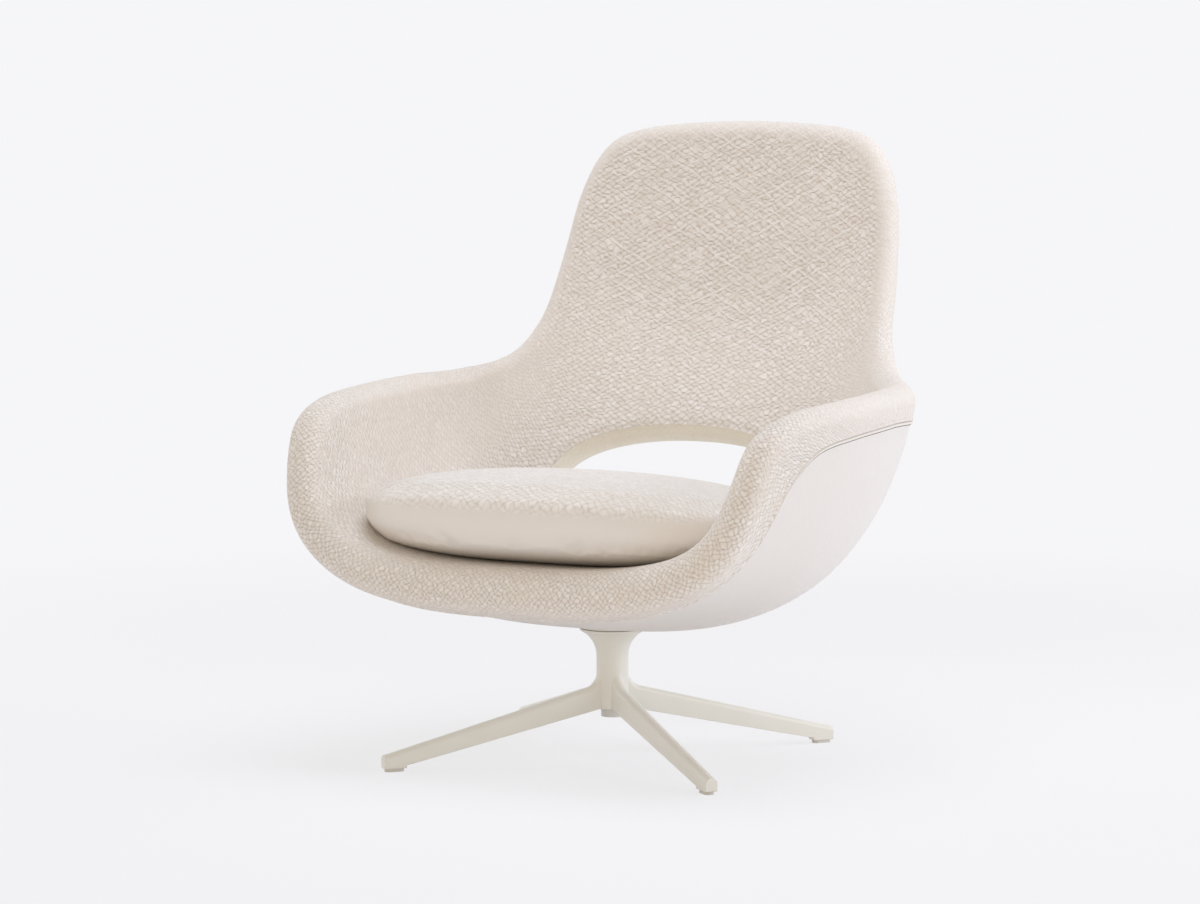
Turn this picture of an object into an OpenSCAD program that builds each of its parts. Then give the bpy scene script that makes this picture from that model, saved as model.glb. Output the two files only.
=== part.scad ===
// Pedestal swivel armchair: a padded bucket shell with an open lumbar, a loose
// pebble cushion, and a four-spoke pedestal that carries the shell on a spindle.
// Millimetres, +Z up, front towards -Y. The origin is on the floor, midway
// between the front lip and the back of the head; the swivel axis stands in front of it.

/* [Shell] */
// Width across the middle of the arm walls
shell_w = 806; // [760:2:860]
// Depth of the shell's middle surface, front lip to head
shell_d = 826; // [780:2:870]
// Height of the shell's middle surface, lowest point to head
shell_h = 740; // [700:2:780]
// Padded thickness of the shell wall
shell_t = 57; // [52:1:62]
// Extra padding under the cushion and over the front lip
deck_t = 36; // [24:1:40]
// Thickness of the moulded core inside the padding
core_t = 12; // [9:0.5:14]
// Padding between the core's edge and the rim
core_rim_inset = 20; // [18:1:26]
// Padding between the core's edge and the lumbar opening
core_eye_inset = 14; // [12:1:18]
// How far the outer panel lies below the rim's cover
panel_recess = 2; // [1:0.5:4]

/* [Seams] */
// Distance from the rim to the outer seam, along the back of the wall
seam_inset = 60; // [52:1:70]
// Cover left between the opening's rounded edge and its seam
eye_seam_land = 2; // [1:0.5:6]
// Angle up the opening's rounded edge at which the cover meets the opening's facing
shoulder_angle = 58; // [50:1:66]
// How far the opening's facing lies below the cover
facing_recess = 1; // [0.5:0.25:2]
// Radius of the sewn welt cord
welt_r = 3; // [2:0.25:4]
// How far a welt stands proud of the cover
welt_proud = 1.5; // [1:0.25:2.5]

/* [Cushion] */
// Room from each side of the loose seat cushion to the middle of the arm's wall
cushion_side_room = 85; // [80:1:100]
// Depth of the loose seat cushion
cushion_d = 494; // [460:2:504]
// Crown of the cushion above its edge
cushion_crown = 58; // [44:1:66]
// Belly of the cushion below its edge
cushion_belly = 84; // [70:1:90]
// Distance from the swivel axis forward to the cushion's middle
cushion_forward = 98; // [90:1:106]
// Backward tilt of the cushion in degrees
cushion_tilt = 5.5; // [4:0.5:7]

/* [Pedestal] */
// Height of the pedestal's top face
pedestal_h = 199; // [185:1:215]
// Radius of the column at its waist
waist_r = 24.5; // [23.5:0.5:28]
// Radius of the flare's hollow curve under the shell
flare_fillet_r = 44; // [42:1:48]
// Height of the flare's hollow curve
flare_h = 40; // [34:1:41]
// Thickness of the flare's edge
flare_edge = 3; // [2:0.5:5]
// Height of the hub's underside
hub_z = 76; // [70:1:80]

/* [Spokes] */
// Number of spokes
spokes = 4; // [4]
// Angle of the first spoke from the front, as the seat stands turned on its base
base_turn = 50.5; // [40:0.5:60]
// Reach of each spoke from the swivel axis
spoke_reach = 372; // [350:1:390]
// Width of a spoke
spoke_w = 19; // [17:0.5:21]
// Radius of a spoke's crowned top beyond half the spoke's width
crown_ease = 1; // [0.5:0.25:2.5]
// Height of a spoke at its end
spoke_tip_h = 20; // [17:1:24]
// Height of a spoke's top above the hub's underside, run on to the axis
spoke_root_h = 43; // [40:1:46]
// Radius of the hollow fillet between column and spoke
spoke_fillet_r = 30; // [26:1:36]
// Length of the foot under a spoke's end
foot_l = 34; // [32:1:40]
// Step down from a spoke's underside to its foot
foot_step = 4; // [3:0.5:6]

/* [Glides] */
// Thickness of a glide pad
glide_t = 5; // [4:0.5:8]
// Length of a glide pad
glide_l = 30; // [24:1:32]
// Width of a glide pad
glide_w = 16; // [14:1:17]
// Radius of a glide's stem
glide_stem_r = 4; // [3:0.25:5]
// Length of a glide's stem
glide_stem_l = 9; // [7:1:11]

/* [Swivel] */
// Radius of the spindle
spindle_r = 12.5; // [11:0.5:13]
// Running clearance round the spindle
run_gap = 0.05; // [0.03:0.01:0.09]
// Height that the seat runs above the pedestal
seat_gap = 1; // [0.8:0.1:1.5]
// Wall of a bush
bush_wall = 3.5; // [3:0.25:4]
// Flange radius of a bush
bush_flange_r = 20; // [18.5:0.5:21]
// Flange thickness of a bush
bush_flange_t = 3; // [2:0.5:4]
// Length of the upper bush below its flange
upper_bush_l = 34; // [26:1:40]
// Length of the lower bush above its flange
lower_bush_l = 24; // [18:1:28]
// Clearance round the spindle inside the column
bore_gap = 1.5; // [1:0.25:2.5]
// Thickness of the washers
washer_t = 2; // [1.5:0.25:2.5]
// Depth of the cavity in the hub's underside
cavity_h = 18; // [16:1:22]
// Thickness of the retaining ring
ring_t = 1.5; // [1.2:0.1:2]
// Depth of the spindle's ring groove
groove_d = 1.2; // [0.8:0.1:1.5]
// Outer radius of the retaining ring
ring_r = 16; // [15:0.5:17.5]
// Spindle left below its ring groove
spindle_tail = 3; // [2:0.5:4]

/* [Mounting] */
// Radius of the mounting plate
plate_r = 50; // [46:1:52]
// Thickness of the mounting plate
plate_t = 6; // [5:0.5:8]
// Radius of the core's moulded boss
boss_r = 46; // [44:1:48]
// Number of plate bolts
bolt_count = 4; // [4]
// Radius of the bolt circle
bolt_circle_r = 34; // [31:1:36]
// Radius of a bolt's shank
bolt_r = 4; // [3:0.25:4]
// Radius of a bolt's countersunk head
bolt_head_r = 8; // [7:0.25:8.5]
// Height of a bolt's countersunk head
bolt_head_h = 4; // [3:0.25:4.5]
// Depth of a bolt's hexagon socket
socket_d = 2; // [1.5:0.25:2.5]
// Radius of a bolt's hexagon socket
socket_r = 2.5; // [2:0.25:3]
// Wall of a threaded insert
insert_wall = 1.5; // [1:0.25:2]
// Length of a threaded insert
insert_l = 14; // [10:1:16]

/* [Cap] */
// Radius of the cap's button below the hub
cap_r = 17.5; // [15:0.5:18.5]
// Height of the cap's button
cap_h = 13; // [10:0.5:15]
// Thickness of the cap's plug inside the hub
cap_plug_t = 4; // [3:0.5:5]
// Wall of the cap
cap_wall = 2; // [1.5:0.25:3]

/* [Hidden] */

// Clearance between pieces that are sewn or bolted side by side
fit = 0.4;
// Clearance between the core and its covers
cover_gap = 0.8;
// Gap that the loose cushion keeps from the seat
rest_gap = 0.4;
// Overrun of every cut past the face that it opens
over = 1;
// How far the fillet's curve is let into the column and into a spoke's crest
fillet_sink = 0.3;

// The shell's middle surface, as shares chosen along it from front lip to head. Each row
// holds the rim's y and z, the centre line's y and z (of shell_d and shell_h), the half
// width (of half shell_w), the fullness of the section, and the angle where it ends.
shell_shares = [
  [-0.401, 0.319, -0.425, 0.085, 0.911, 3.2, 88],
  [-0.336, 0.405, -0.343, 0.060, 0.938, 3.1, 88],
  [-0.221, 0.442, -0.209, 0.031, 0.975, 3.0, 88],
  [-0.067, 0.453, -0.053, 0.001, 1.004, 3.0, 88],
  [0.097, 0.462, 0.083, 0.016, 1.003, 2.9, 88],
  [0.249, 0.466, 0.189, 0.094, 0.956, 2.7, 86],
  [0.338, 0.490, 0.271, 0.221, 0.844, 2.4, 76],
  [0.402, 0.562, 0.361, 0.367, 0.768, 2.2, 65],
  [0.462, 0.689, 0.471, 0.562, 0.734, 2.1, 58],
  [0.509, 0.831, 0.533, 0.784, 0.706, 2.0, 55],
  [0.540, 0.966, 0.575, 1.002, 0.654, 2.05, 54]];
// Lumbar opening in the surface's own coordinates: half width, up, down, middle
eye_half_share = 0.39;
eye_up_share = 0.175;
eye_down_share = 0.165;
eye_mid_share = 0.17;
// Squareness of the shell's outline at the head and at the lip
head_square = 9;
lip_square = 10;
// Reach of the extra deck padding: across, middle and half length along the surface
deck_across_share = 0.85;
deck_mid_share = -0.5;
deck_along_share = 0.68;
// Share of the wall's thickness by which the head stands behind its middle surface
head_back_share = 0.4;
// Where the centre line crosses the swivel axis, along the surface
axis_share = -0.32;
// Squareness of the cushion's outline, crown and belly
cushion_square = 3;
crown_square = 2.1;
belly_square = 2.2;

// Meshing of the soft forms: steps round the shell, along its faces, and round its rims
around = 56;
corner_crowd = 6;
face_steps = 6;
rim_steps = 4;
facing_steps = 7;
welt_sides = 8;
cushion_around = 56;
cushion_rings = 9;

half_t = shell_t / 2;
shell_floor = pedestal_h + seat_gap + half_t;
front_reach = -shell_shares[0][2] * shell_d;
back_reach = shell_shares[len(shell_shares) - 1][2] * shell_d + head_back_share * shell_t;
axis_y = (front_reach - back_reach) / 2;

bush_r = spindle_r + run_gap + bush_wall;
flare_r = waist_r + flare_fillet_r - sqrt(pow(flare_fillet_r, 2) - pow(flare_h, 2));
top_flange_z = pedestal_h + seat_gap - washer_t - bush_flange_t;
cavity_z = hub_z + cavity_h;
plate_z = pedestal_h + seat_gap;
boss_z = plate_z + plate_t;
washer_z = cavity_z - bush_flange_t - washer_t;
ring_z = washer_z - ring_t;
spindle_z = ring_z - spindle_tail;
bolt_recess = fit;
insert_r = bolt_r + insert_wall;
eye_seam_inset = half_t + eye_seam_land + welt_r + fit;
cushion_w = shell_w - 2 * cushion_side_room;
crown_r = spoke_w / 2 + crown_ease;

function mix(a, b, u) = a + (b - a) * u;
function unit(v) = v / norm(v);
function clamp01(v) = min(max(v, 0), 1);

// A smooth curve through evenly spaced table rows, for t from -1 to 1
function station(rows, t) =
  let (n = len(rows) - 1,
    x = clamp01((t + 1) / 2) * n,
    i = min(floor(x), n - 1),
    u = x - i,
    b = rows[i],
    c = rows[i + 1],
    a = i > 0 ? rows[i - 1] : 2 * b - c,
    d = i + 2 <= n ? rows[i + 2] : 2 * c - b)
  (2 * b + (c - a) * u + (2 * a - 5 * b + 4 * c - d) * u * u + (3 * b - a - 3 * c + d) * u * u * u) / 2;

// A point of the middle surface: s runs across from -1 to 1, t from the lip to the head
function sheet(s, t) =
  let (k = station(shell_shares, t),
    e = 2 / k[5],
    a = min(abs(s), 1) * k[6],
    end = pow(cos(k[6]), e),
    side = pow(sin(a), e) / pow(sin(k[6]), e),
    deep = (pow(cos(a), e) - end) / (1 - end))
  [sign(s) * side * k[4] * shell_w / 2,
    mix(k[0], k[2], deep) * shell_d,
    shell_floor + mix(k[1], k[3], deep) * shell_h];

// The surface's own coordinates at an angle round the opening, r = 0 at its rim, 1 at the outer rim
function place(angle, r) =
  let (c = cos(angle),
    s = sin(angle),
    m = s > 0 ? head_square : lip_square,
    out = pow(pow(abs(c), m) + pow(abs(s), m), -1 / m),
    eye = [eye_half_share * c, (s > 0 ? eye_up_share : eye_down_share) * s + eye_mid_share])
  mix(eye, [out * c, out * s], r);
function shell_at(angle, r) = let (p = place(angle, r)) sheet(p[0], p[1]);

// Finite steps for slopes of the surface, in its own coordinates and in degrees
step_r = 0.001;
step_a = 0.06;
function slope_r(angle, r) =
  let (q = min(max(r, step_r), 1 - step_r)) shell_at(angle, q + step_r) - shell_at(angle, q - step_r);
function slope_a(angle, r) = shell_at(angle + step_a, r) - shell_at(angle - step_a, r);
// Unit normal towards the sitter
function facing(angle, r) =
  let (q = min(max(r, step_r), 1 - step_r)) unit(cross(slope_r(angle, q), slope_a(angle, q)));
// Millimetres per unit of r, square to the rim
function gain(angle, r) =
  norm(cross(slope_r(angle, r), unit(slope_a(angle, r)))) / (2 * step_r);
function from_rim(inset, rim_gain) = 1 - inset / rim_gain;
function from_eye(inset, eye_gain) = inset / eye_gain;
// Each seam's place, its direction along the shell, and half the width of its groove in r
function seam_r(angle, at_rim) =
  at_rim ? from_rim(seam_inset, gain(angle, 1)) : from_eye(eye_seam_inset, gain(angle, 0));
function seam_at(angle, at_rim) = shell_at(angle, seam_r(angle, at_rim));
function seam_along(angle, at_rim) =
  unit(seam_at(angle + step_a, at_rim) - seam_at(angle - step_a, at_rim));
function groove(angle, at_rim) =
  (welt_r + fit) * 2 * step_r / norm(cross(slope_r(angle, seam_r(angle, at_rim)), seam_along(angle, at_rim)));
// What a section needs at an angle: gains at rim and opening, and each seam with its groove
function scales(angle) = [gain(angle, 1), gain(angle, 0), seam_r(angle, true), groove(angle, true),
  seam_r(angle, false), groove(angle, false)];

// Extra padding, greatest under the cushion, and nothing at the arms and back
function deck(p) =
  let (a = clamp01(1 - pow(p[0] / deck_across_share, 2)),
    b = clamp01(1 - pow((p[1] - deck_mid_share) / deck_along_share, 2)))
  deck_t * a * a * b * b;

// A layer's point: at r, lifted h off the middle surface, with a share of the deck
function lifted(angle, r, h, deck_share) =
  shell_at(angle, r) + facing(angle, r) * (h + deck_share * deck(place(angle, r)));

// Joins loops of equal length into a closed ring-shaped solid. The quads of the core and the
// facing are split the other way, so that they lie parallel to the covers' inner faces.
function ring_faces(n, m, turned) = [for (i = [0 : n - 1], j = [0 : m - 1], k = [0, 1])
  let (a = i * m + j,
    b = ((i + 1) % n) * m + j,
    c = ((i + 1) % n) * m + (j + 1) % m,
    d = i * m + (j + 1) % m)
  turned ? (k == 0 ? [a, d, b] : [b, d, c]) : (k == 0 ? [a, c, b] : [a, d, c])];
module ring_solid(loops, turned = false) {
  polyhedron(points = [for (loop = loops, p = loop) p],
    faces = ring_faces(len(loops), len(loops[0]), turned));
}

// Sections round the shell, each point as [r, lift, share of the deck]
function backwards(list) = [for (i = [len(list) - 1 : -1 : 0]) list[i]];
function common(k) = [for (i = [0 : face_steps + 1]) mix(k[2], k[4], i / (face_steps + 1))];
function edge_point(tip, full, lift, a) =
  [tip + (full - tip) * (1 - cos(a)), lift * sin(a), max(sin(a), 0)];
function edge_turn(tip, full) =
  [for (i = [1 : 2 * rim_steps - 1]) edge_point(tip, full, half_t, 90 * (i / rim_steps - 1))];

function core_section(k) =
  let (r = concat([from_rim(core_rim_inset, k[0])], common(k), [from_eye(core_eye_inset, k[1])]))
  concat([for (v = r) [v, core_t / 2, 0]], [for (v = backwards(r)) [v, -core_t / 2, 0]]);

function inner_section(k) =
  let (skin = core_t / 2 + cover_gap,
    seam = k[2] + k[3],
    full = from_rim(half_t, k[0]),
    core = from_rim(core_rim_inset - cover_gap, k[0]),
    eye_full = from_eye(half_t, k[1]),
    eye_core = from_eye(core_eye_inset - cover_gap, k[1]),
    slit = from_eye(fit, k[1]),
    shoulder = edge_point(0, eye_full, half_t, shoulder_angle),
    mids = common(k))
  concat([[seam, -half_t, 0], [full, -half_t, 0]],
    edge_turn(1, full),
    [[full, half_t, 1]],
    [for (i = [0 : face_steps]) [mids[i], half_t, 1]],
    [[eye_full, half_t, 1], edge_point(0, eye_full, half_t, mix(90, shoulder_angle, 0.5)),
      shoulder + [slit, 0, 0], [eye_core + slit, skin, 0]],
    [for (v = backwards(mids)) [v, skin, 0]],
    [[core, skin, 0], [core, -skin, 0], [seam, -skin, 0]]);

// The facing lines the opening, from its front shoulder round to the seam on the back
function facing_section(k) =
  let (skin = core_t / 2 + cover_gap,
    lift = half_t - facing_recess,
    tip = from_eye(facing_recess, k[1]),
    full = from_eye(half_t, k[1]),
    eye_seam = k[4] - k[5],
    eye_core = from_eye(core_eye_inset - cover_gap, k[1]),
    shoulder = edge_point(0, full, lift, shoulder_angle))
  concat([shoulder],
    [for (i = [1 : facing_steps])
      edge_point(tip, full, lift, mix(shoulder_angle, -90, i / facing_steps))],
    [[eye_seam, -lift, 0], [eye_seam, -skin, 0], [eye_core, -skin, 0], [eye_core, skin, 0]]);

function outer_section(k) =
  let (skin = core_t / 2 + cover_gap,
    face = half_t - panel_recess,
    mids = common(k),
    r = concat([k[2] - k[3]], [for (i = [1 : face_steps]) mids[i]], [k[4] + k[5]]))
  concat([for (v = r) [v, -skin, 0]], [for (v = backwards(r)) [v, -face, 0]]);

// Steps round the opening crowd towards the corners of the shell's outline
function angle_at(i) = let (a = 360 * (i + 0.5) / around) a + corner_crowd * sin(4 * a);
function layer(kind) = [for (i = [0 : around - 1])
  let (k = scales(angle_at(i)),
    section = kind == "core" ? core_section(k) : kind == "inner" ? inner_section(k)
      : kind == "facing" ? facing_section(k) : outer_section(k))
  [for (p = section) lifted(angle_at(i), p[0], p[1], p[2])]];

// A cord that follows a seam on the back of the shell
function cord(at_rim) = [for (i = [0 : around - 1])
  let (angle = angle_at(i),
    n = facing(angle, seam_r(angle, at_rim)),
    side = unit(cross(n, seam_along(angle, at_rim))),
    centre = seam_at(angle, at_rim) - n * (half_t + welt_proud - welt_r))
  [for (j = [0 : welt_sides - 1])
    let (a = 360 * j / welt_sides) centre + welt_r * (n * cos(a) + side * sin(a))]];

// Everything is worked out from the swivel axis, which stands axis_y from the origin
module from_axis() {
  translate([0, axis_y, 0]) children();
}
module tube(z, h, r_out, r_in) {
  translate([0, 0, z]) difference() {
    cylinder(r = r_out, h = h, $fn = 96);
    translate([0, 0, -over]) cylinder(r = r_in, h = h + 2 * over, $fn = 96);
  }
}

// Side of a spoke. Its crest runs down the column, round a fillet and straight to the end.
spoke_top_z = hub_z + spoke_root_h;
spoke_end_z = glide_t + spoke_tip_h;
spoke_fall = atan((spoke_top_z - spoke_end_z) / spoke_reach);
// The fillet is let a little into the column and the crest, so that it crosses both cleanly
fillet_x = waist_r + spoke_fillet_r - fillet_sink;
fillet_z = spoke_top_z - fillet_x * tan(spoke_fall) + (spoke_fillet_r - fillet_sink) / cos(spoke_fall);
// The point this far below the crest's fillet centre, square to the straight crest
function below_fillet(r) = [fillet_x - r * sin(spoke_fall), fillet_z - r * cos(spoke_fall)];
// Outline of a spoke from the side, under a line level with the fillet's top
module spoke_side() {
  polygon([[0, hub_z], [waist_r, hub_z], [spoke_reach - foot_l, glide_t + foot_step],
    [spoke_reach - foot_l, glide_t], [spoke_reach, glide_t], [spoke_reach, fillet_z + over],
    [0, fillet_z + over]]);
}
// Section of the bar that a spoke is cut from, crest at the origin and depth along x
module bar_section() {
  depth = spoke_root_h + spoke_fillet_r;
  width = spoke_w + crown_ease;
  translate([crown_r, 0]) circle(r = crown_r, $fn = 96);
  translate([crown_r, -width / 2]) square([depth - crown_r, width]);
}
// The crowned bar runs round the fillet from the column and then straight to the end
module crowned_bar() {
  p = below_fillet(spoke_fillet_r - fillet_sink);
  lap = spoke_fillet_r / 3;
  translate([p[0], 0, p[1]]) rotate([0, 90 + spoke_fall, 0]) translate([0, 0, -lap])
    linear_extrude(height = spoke_reach + lap) bar_section();
  translate([fillet_x, 0, fillet_z]) rotate([90, 0, 0]) rotate([0, 0, 180])
    rotate_extrude(angle = 90 - spoke_fall, $fn = 96)
      translate([spoke_fillet_r, 0]) bar_section();
}
module spoke() {
  intersection() {
    translate([0, spoke_w / 2, 0]) rotate([90, 0, 0]) linear_extrude(height = spoke_w) spoke_side();
    crowned_bar();
  }
}
module on_spoke(k) {
  rotate([0, 0, base_turn - 90 + 360 * k / spokes]) children();
}
module column() {
  flare_z = pedestal_h - flare_edge - flare_h;
  translate([0, 0, hub_z]) cylinder(r = waist_r, h = flare_z - hub_z, $fn = 128);
  rotate_extrude($fn = 128) difference() {
    translate([0, flare_z]) square([flare_r, pedestal_h - flare_z]);
    translate([waist_r + flare_fillet_r, flare_z]) circle(r = flare_fillet_r, $fn = 96);
  }
}
module pedestal_base() {
  color("#e9e4da") from_axis() difference() {
    union() {
      column();
      for (k = [0 : spokes - 1]) on_spoke(k) spoke();
    }
    translate([0, 0, cavity_z - over])
      cylinder(r = spindle_r + bore_gap, h = top_flange_z - cavity_z + 2 * over, $fn = 96);
    translate([0, 0, cavity_z - over]) cylinder(r = bush_r, h = lower_bush_l + over, $fn = 96);
    translate([0, 0, top_flange_z - upper_bush_l]) cylinder(r = bush_r, h = upper_bush_l + over, $fn = 96);
    translate([0, 0, top_flange_z]) cylinder(r = bush_flange_r, h = pedestal_h, $fn = 96);
    translate([0, 0, hub_z - over]) cylinder(r = bush_flange_r, h = cavity_h + over, $fn = 96);
    for (k = [0 : spokes - 1]) on_spoke(k) translate([spoke_reach - foot_l / 2, 0, glide_t - over])
      cylinder(r = glide_stem_r, h = glide_stem_l + over, $fn = 48);
  }
}

module upper_bush() {
  color("#d8d4c4") from_axis() {
    difference() {
      union() {
        translate([0, 0, top_flange_z - upper_bush_l]) cylinder(r = bush_r, h = upper_bush_l, $fn = 96);
        translate([0, 0, top_flange_z]) cylinder(r = bush_flange_r, h = bush_flange_t, $fn = 96);
      }
      translate([0, 0, top_flange_z - upper_bush_l - over])
        cylinder(r = spindle_r + run_gap, h = upper_bush_l + bush_flange_t + 2 * over, $fn = 96);
    }
  }
}
module lower_bush() {
  color("#d8d4c4") from_axis() {
    difference() {
      union() {
        translate([0, 0, cavity_z]) cylinder(r = bush_r, h = lower_bush_l, $fn = 96);
        translate([0, 0, cavity_z - bush_flange_t]) cylinder(r = bush_flange_r, h = bush_flange_t, $fn = 96);
      }
      translate([0, 0, cavity_z - bush_flange_t - over])
        cylinder(r = spindle_r + run_gap, h = lower_bush_l + bush_flange_t + 2 * over, $fn = 96);
    }
  }
}
module thrust_washer() {
  color("#c9a15a") from_axis()
    tube(top_flange_z + bush_flange_t, washer_t, bush_flange_r - fit, spindle_r + run_gap);
}
module bottom_cap() {
  color("#cfcdc8") from_axis() difference() {
    union() {
      translate([0, 0, hub_z]) cylinder(r = bush_flange_r, h = cap_plug_t, $fn = 96);
      translate([0, 0, hub_z - cap_h]) cylinder(r = cap_r, h = cap_h, $fn = 96);
    }
    translate([0, 0, hub_z - cap_h + cap_wall])
      cylinder(r = cap_r - cap_wall, h = cap_h + cap_plug_t, $fn = 96);
  }
}

// A glide: a round-ended pad under the spoke's end, and a stem pressed into it
module glide(k) {
  end_r = glide_w / 2;
  color("#8f8d88") from_axis() on_spoke(k) translate([spoke_reach - foot_l / 2, 0, 0]) {
    translate([end_r - glide_l / 2, -end_r, 0]) cube([glide_l - glide_w, glide_w, glide_t]);
    for (x = [-1, 1]) translate([x * (glide_l / 2 - end_r), 0, 0])
      cylinder(r = end_r, h = glide_t, $fn = 64);
    translate([0, 0, glide_t]) cylinder(r = glide_stem_r, h = glide_stem_l, $fn = 48);
  }
}
module glide_front_right() { glide(0); }
module glide_back_right() { glide(1); }
module glide_back_left() { glide(2); }
module glide_front_left() { glide(3); }

module swivel_spindle() {
  color("#a9adb2") from_axis() difference() {
    translate([0, 0, spindle_z]) cylinder(r = spindle_r, h = boss_z - spindle_z, $fn = 96);
    tube(ring_z, ring_t, spindle_r + over, spindle_r - groove_d);
  }
}
module at_bolts() {
  for (k = [0 : bolt_count - 1]) rotate([0, 0, 360 * (k + 0.5) / bolt_count])
    translate([bolt_circle_r, 0, 0]) children();
}
module mounting_plate() {
  color("#b9bcc0") from_axis() difference() {
    translate([0, 0, plate_z]) cylinder(r = plate_r, h = plate_t, $fn = 128);
    translate([0, 0, plate_z - over]) cylinder(r = spindle_r, h = plate_t + 2 * over, $fn = 96);
    at_bolts() {
      translate([0, 0, plate_z - over]) cylinder(r = bolt_r + fit, h = plate_t + 2 * over, $fn = 48);
      translate([0, 0, plate_z - over]) cylinder(r = bolt_head_r, h = bolt_recess + over, $fn = 48);
      translate([0, 0, plate_z + bolt_recess])
        cylinder(r1 = bolt_head_r, r2 = bolt_r, h = bolt_head_h, $fn = 48);
    }
  }
}
module plate_bolts() {
  length = plate_t + insert_l - fit;
  color("#75787c") from_axis() at_bolts() translate([0, 0, plate_z + bolt_recess]) difference() {
    union() {
      cylinder(r1 = bolt_head_r, r2 = bolt_r, h = bolt_head_h, $fn = 48);
      cylinder(r = bolt_r, h = length - bolt_recess, $fn = 48);
    }
    translate([0, 0, -over]) cylinder(r = socket_r, h = socket_d + over, $fn = 6);
  }
}
module shell_inserts() {
  color("#b08d4a") from_axis() at_bolts() tube(boss_z, insert_l, insert_r, bolt_r);
}
module lower_washer() {
  color("#b9bcc0") from_axis() tube(washer_z, washer_t, bush_flange_r - fit, spindle_r);
}
module retaining_ring() {
  gap = ring_r - spindle_r;
  color("#56595d") from_axis() difference() {
    tube(ring_z, ring_t, ring_r, spindle_r - groove_d);
    translate([0, -gap / 2, ring_z - over]) cube([ring_r + over, gap, ring_t + 2 * over]);
  }
}

// The moulded core, with its boss for the mounting plate
module seat_shell() {
  color("#3d4043") from_axis() difference() {
    union() {
      ring_solid(layer("core"), turned = true);
      translate([0, 0, boss_z]) cylinder(r = boss_r, h = sheet(0, axis_share)[2] - boss_z, $fn = 96);
    }
    at_bolts() translate([0, 0, boss_z - over]) cylinder(r = insert_r, h = insert_l + over, $fn = 48);
  }
}
// The padded cover that faces the sitter: from the opening's shoulder over the rim to its seam
module inner_upholstery() {
  color("#ede3d8") from_axis() ring_solid(layer("inner"));
}
module opening_facing() {
  color("#e4dac8") from_axis() ring_solid(layer("facing"), turned = true);
}
// The smoother panel on the outside, between the rim's seam and the opening's seam
module outer_upholstery() {
  color("#e6ddd2") from_axis() difference() {
    ring_solid(layer("outer"));
    cylinder(r = plate_r + over, h = sheet(0, axis_share)[2], $fn = 128);
  }
}
module rim_welt() {
  color("#f2eae0") from_axis() ring_solid(cord(true));
}
module opening_welt() {
  color("#f2eae0") from_axis() ring_solid(cord(false));
}

// The loose cushion: a crowned pebble whose sides draw in to a fine edge all round
function outline_r(angle) =
  let (x = abs(cos(angle)) * 2 / cushion_w, y = abs(sin(angle)) * 2 / cushion_d)
  pow(pow(x, cushion_square) + pow(y, cushion_square), -1 / cushion_square);
function bulge(u, amp, square) = amp * pow(1 - pow(u, square), 1 / square);
function cushion_ring(ring, amp, square) =
  let (u = sin(90 * ring / cushion_rings))
  [for (j = [0 : cushion_around - 1])
    let (a = 360 * j / cushion_around, r = outline_r(a) * u)
    [r * cos(a), r * sin(a), bulge(u, amp, square)]];

// How far the cushion must rise, from a first height, to clear a point of the padded seat
cushion_first_z = shell_floor + half_t + deck_t + cushion_belly;
function rise_over(p) =
  let (y = p[1] + cushion_forward,
    z = p[2] - cushion_first_z,
    v = [p[0], y * cos(cushion_tilt) - z * sin(cushion_tilt), y * sin(cushion_tilt) + z * cos(cushion_tilt)],
    u = norm([v[0], v[1]]) / outline_r(atan2(v[1], v[0])))
  u < 1 && v[2] < 0 ? (v[2] + bulge(u, cushion_belly, belly_square)) / cos(cushion_tilt) : -cushion_belly;
// The seat's facets are tested at their corners and at the middles of their sides
function seat_points() =
  let (all = layer("inner"), first = 2 * rim_steps + 2, last = first + face_steps)
  [for (i = [0 : around - 1], j = [first : last - 1])
    let (a = all[i][j], b = all[(i + 1) % around][j], c = all[i][j + 1], d = all[(i + 1) % around][j + 1])
    each [a, (a + b) / 2, (a + c) / 2, (a + d) / 2, (b + c) / 2]];
module seat_cushion() {
  rise = max([for (p = seat_points()) rise_over(p)]) + rest_gap;
  rings = concat([for (i = [1 : cushion_rings]) cushion_ring(i, cushion_crown, crown_square)],
    [for (i = [cushion_rings - 1 : -1 : 1]) cushion_ring(i, -cushion_belly, belly_square)]);
  n = len(rings);
  m = cushion_around;
  points = concat([for (ring = rings, p = ring) p], [[0, 0, cushion_crown], [0, 0, -cushion_belly]]);
  sides = [for (i = [0 : n - 2], j = [0 : m - 1], k = [0, 1])
    let (a = i * m + j, b = (i + 1) * m + j, c = (i + 1) * m + (j + 1) % m, d = i * m + (j + 1) % m)
    k == 0 ? [a, c, b] : [a, d, c]];
  ends = [for (j = [0 : m - 1], k = [0, 1])
    k == 0 ? [n * m, (j + 1) % m, j] : [n * m + 1, (n - 1) * m + j, (n - 1) * m + (j + 1) % m]];
  echo(cushion_rise = rise);
  color("#ece2d6") from_axis()
    translate([0, -cushion_forward, cushion_first_z + rise]) rotate([-cushion_tilt, 0, 0])
      polyhedron(points = points, faces = concat(ends, sides));
}

pedestal_base();
upper_bush();
lower_bush();
thrust_washer();
bottom_cap();
glide_front_right();
glide_back_right();
glide_back_left();
glide_front_left();
swivel_spindle();
mounting_plate();
plate_bolts();
shell_inserts();
lower_washer();
retaining_ring();
seat_shell();
inner_upholstery();
opening_facing();
outer_upholstery();
rim_welt();
opening_welt();
seat_cushion();
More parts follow.
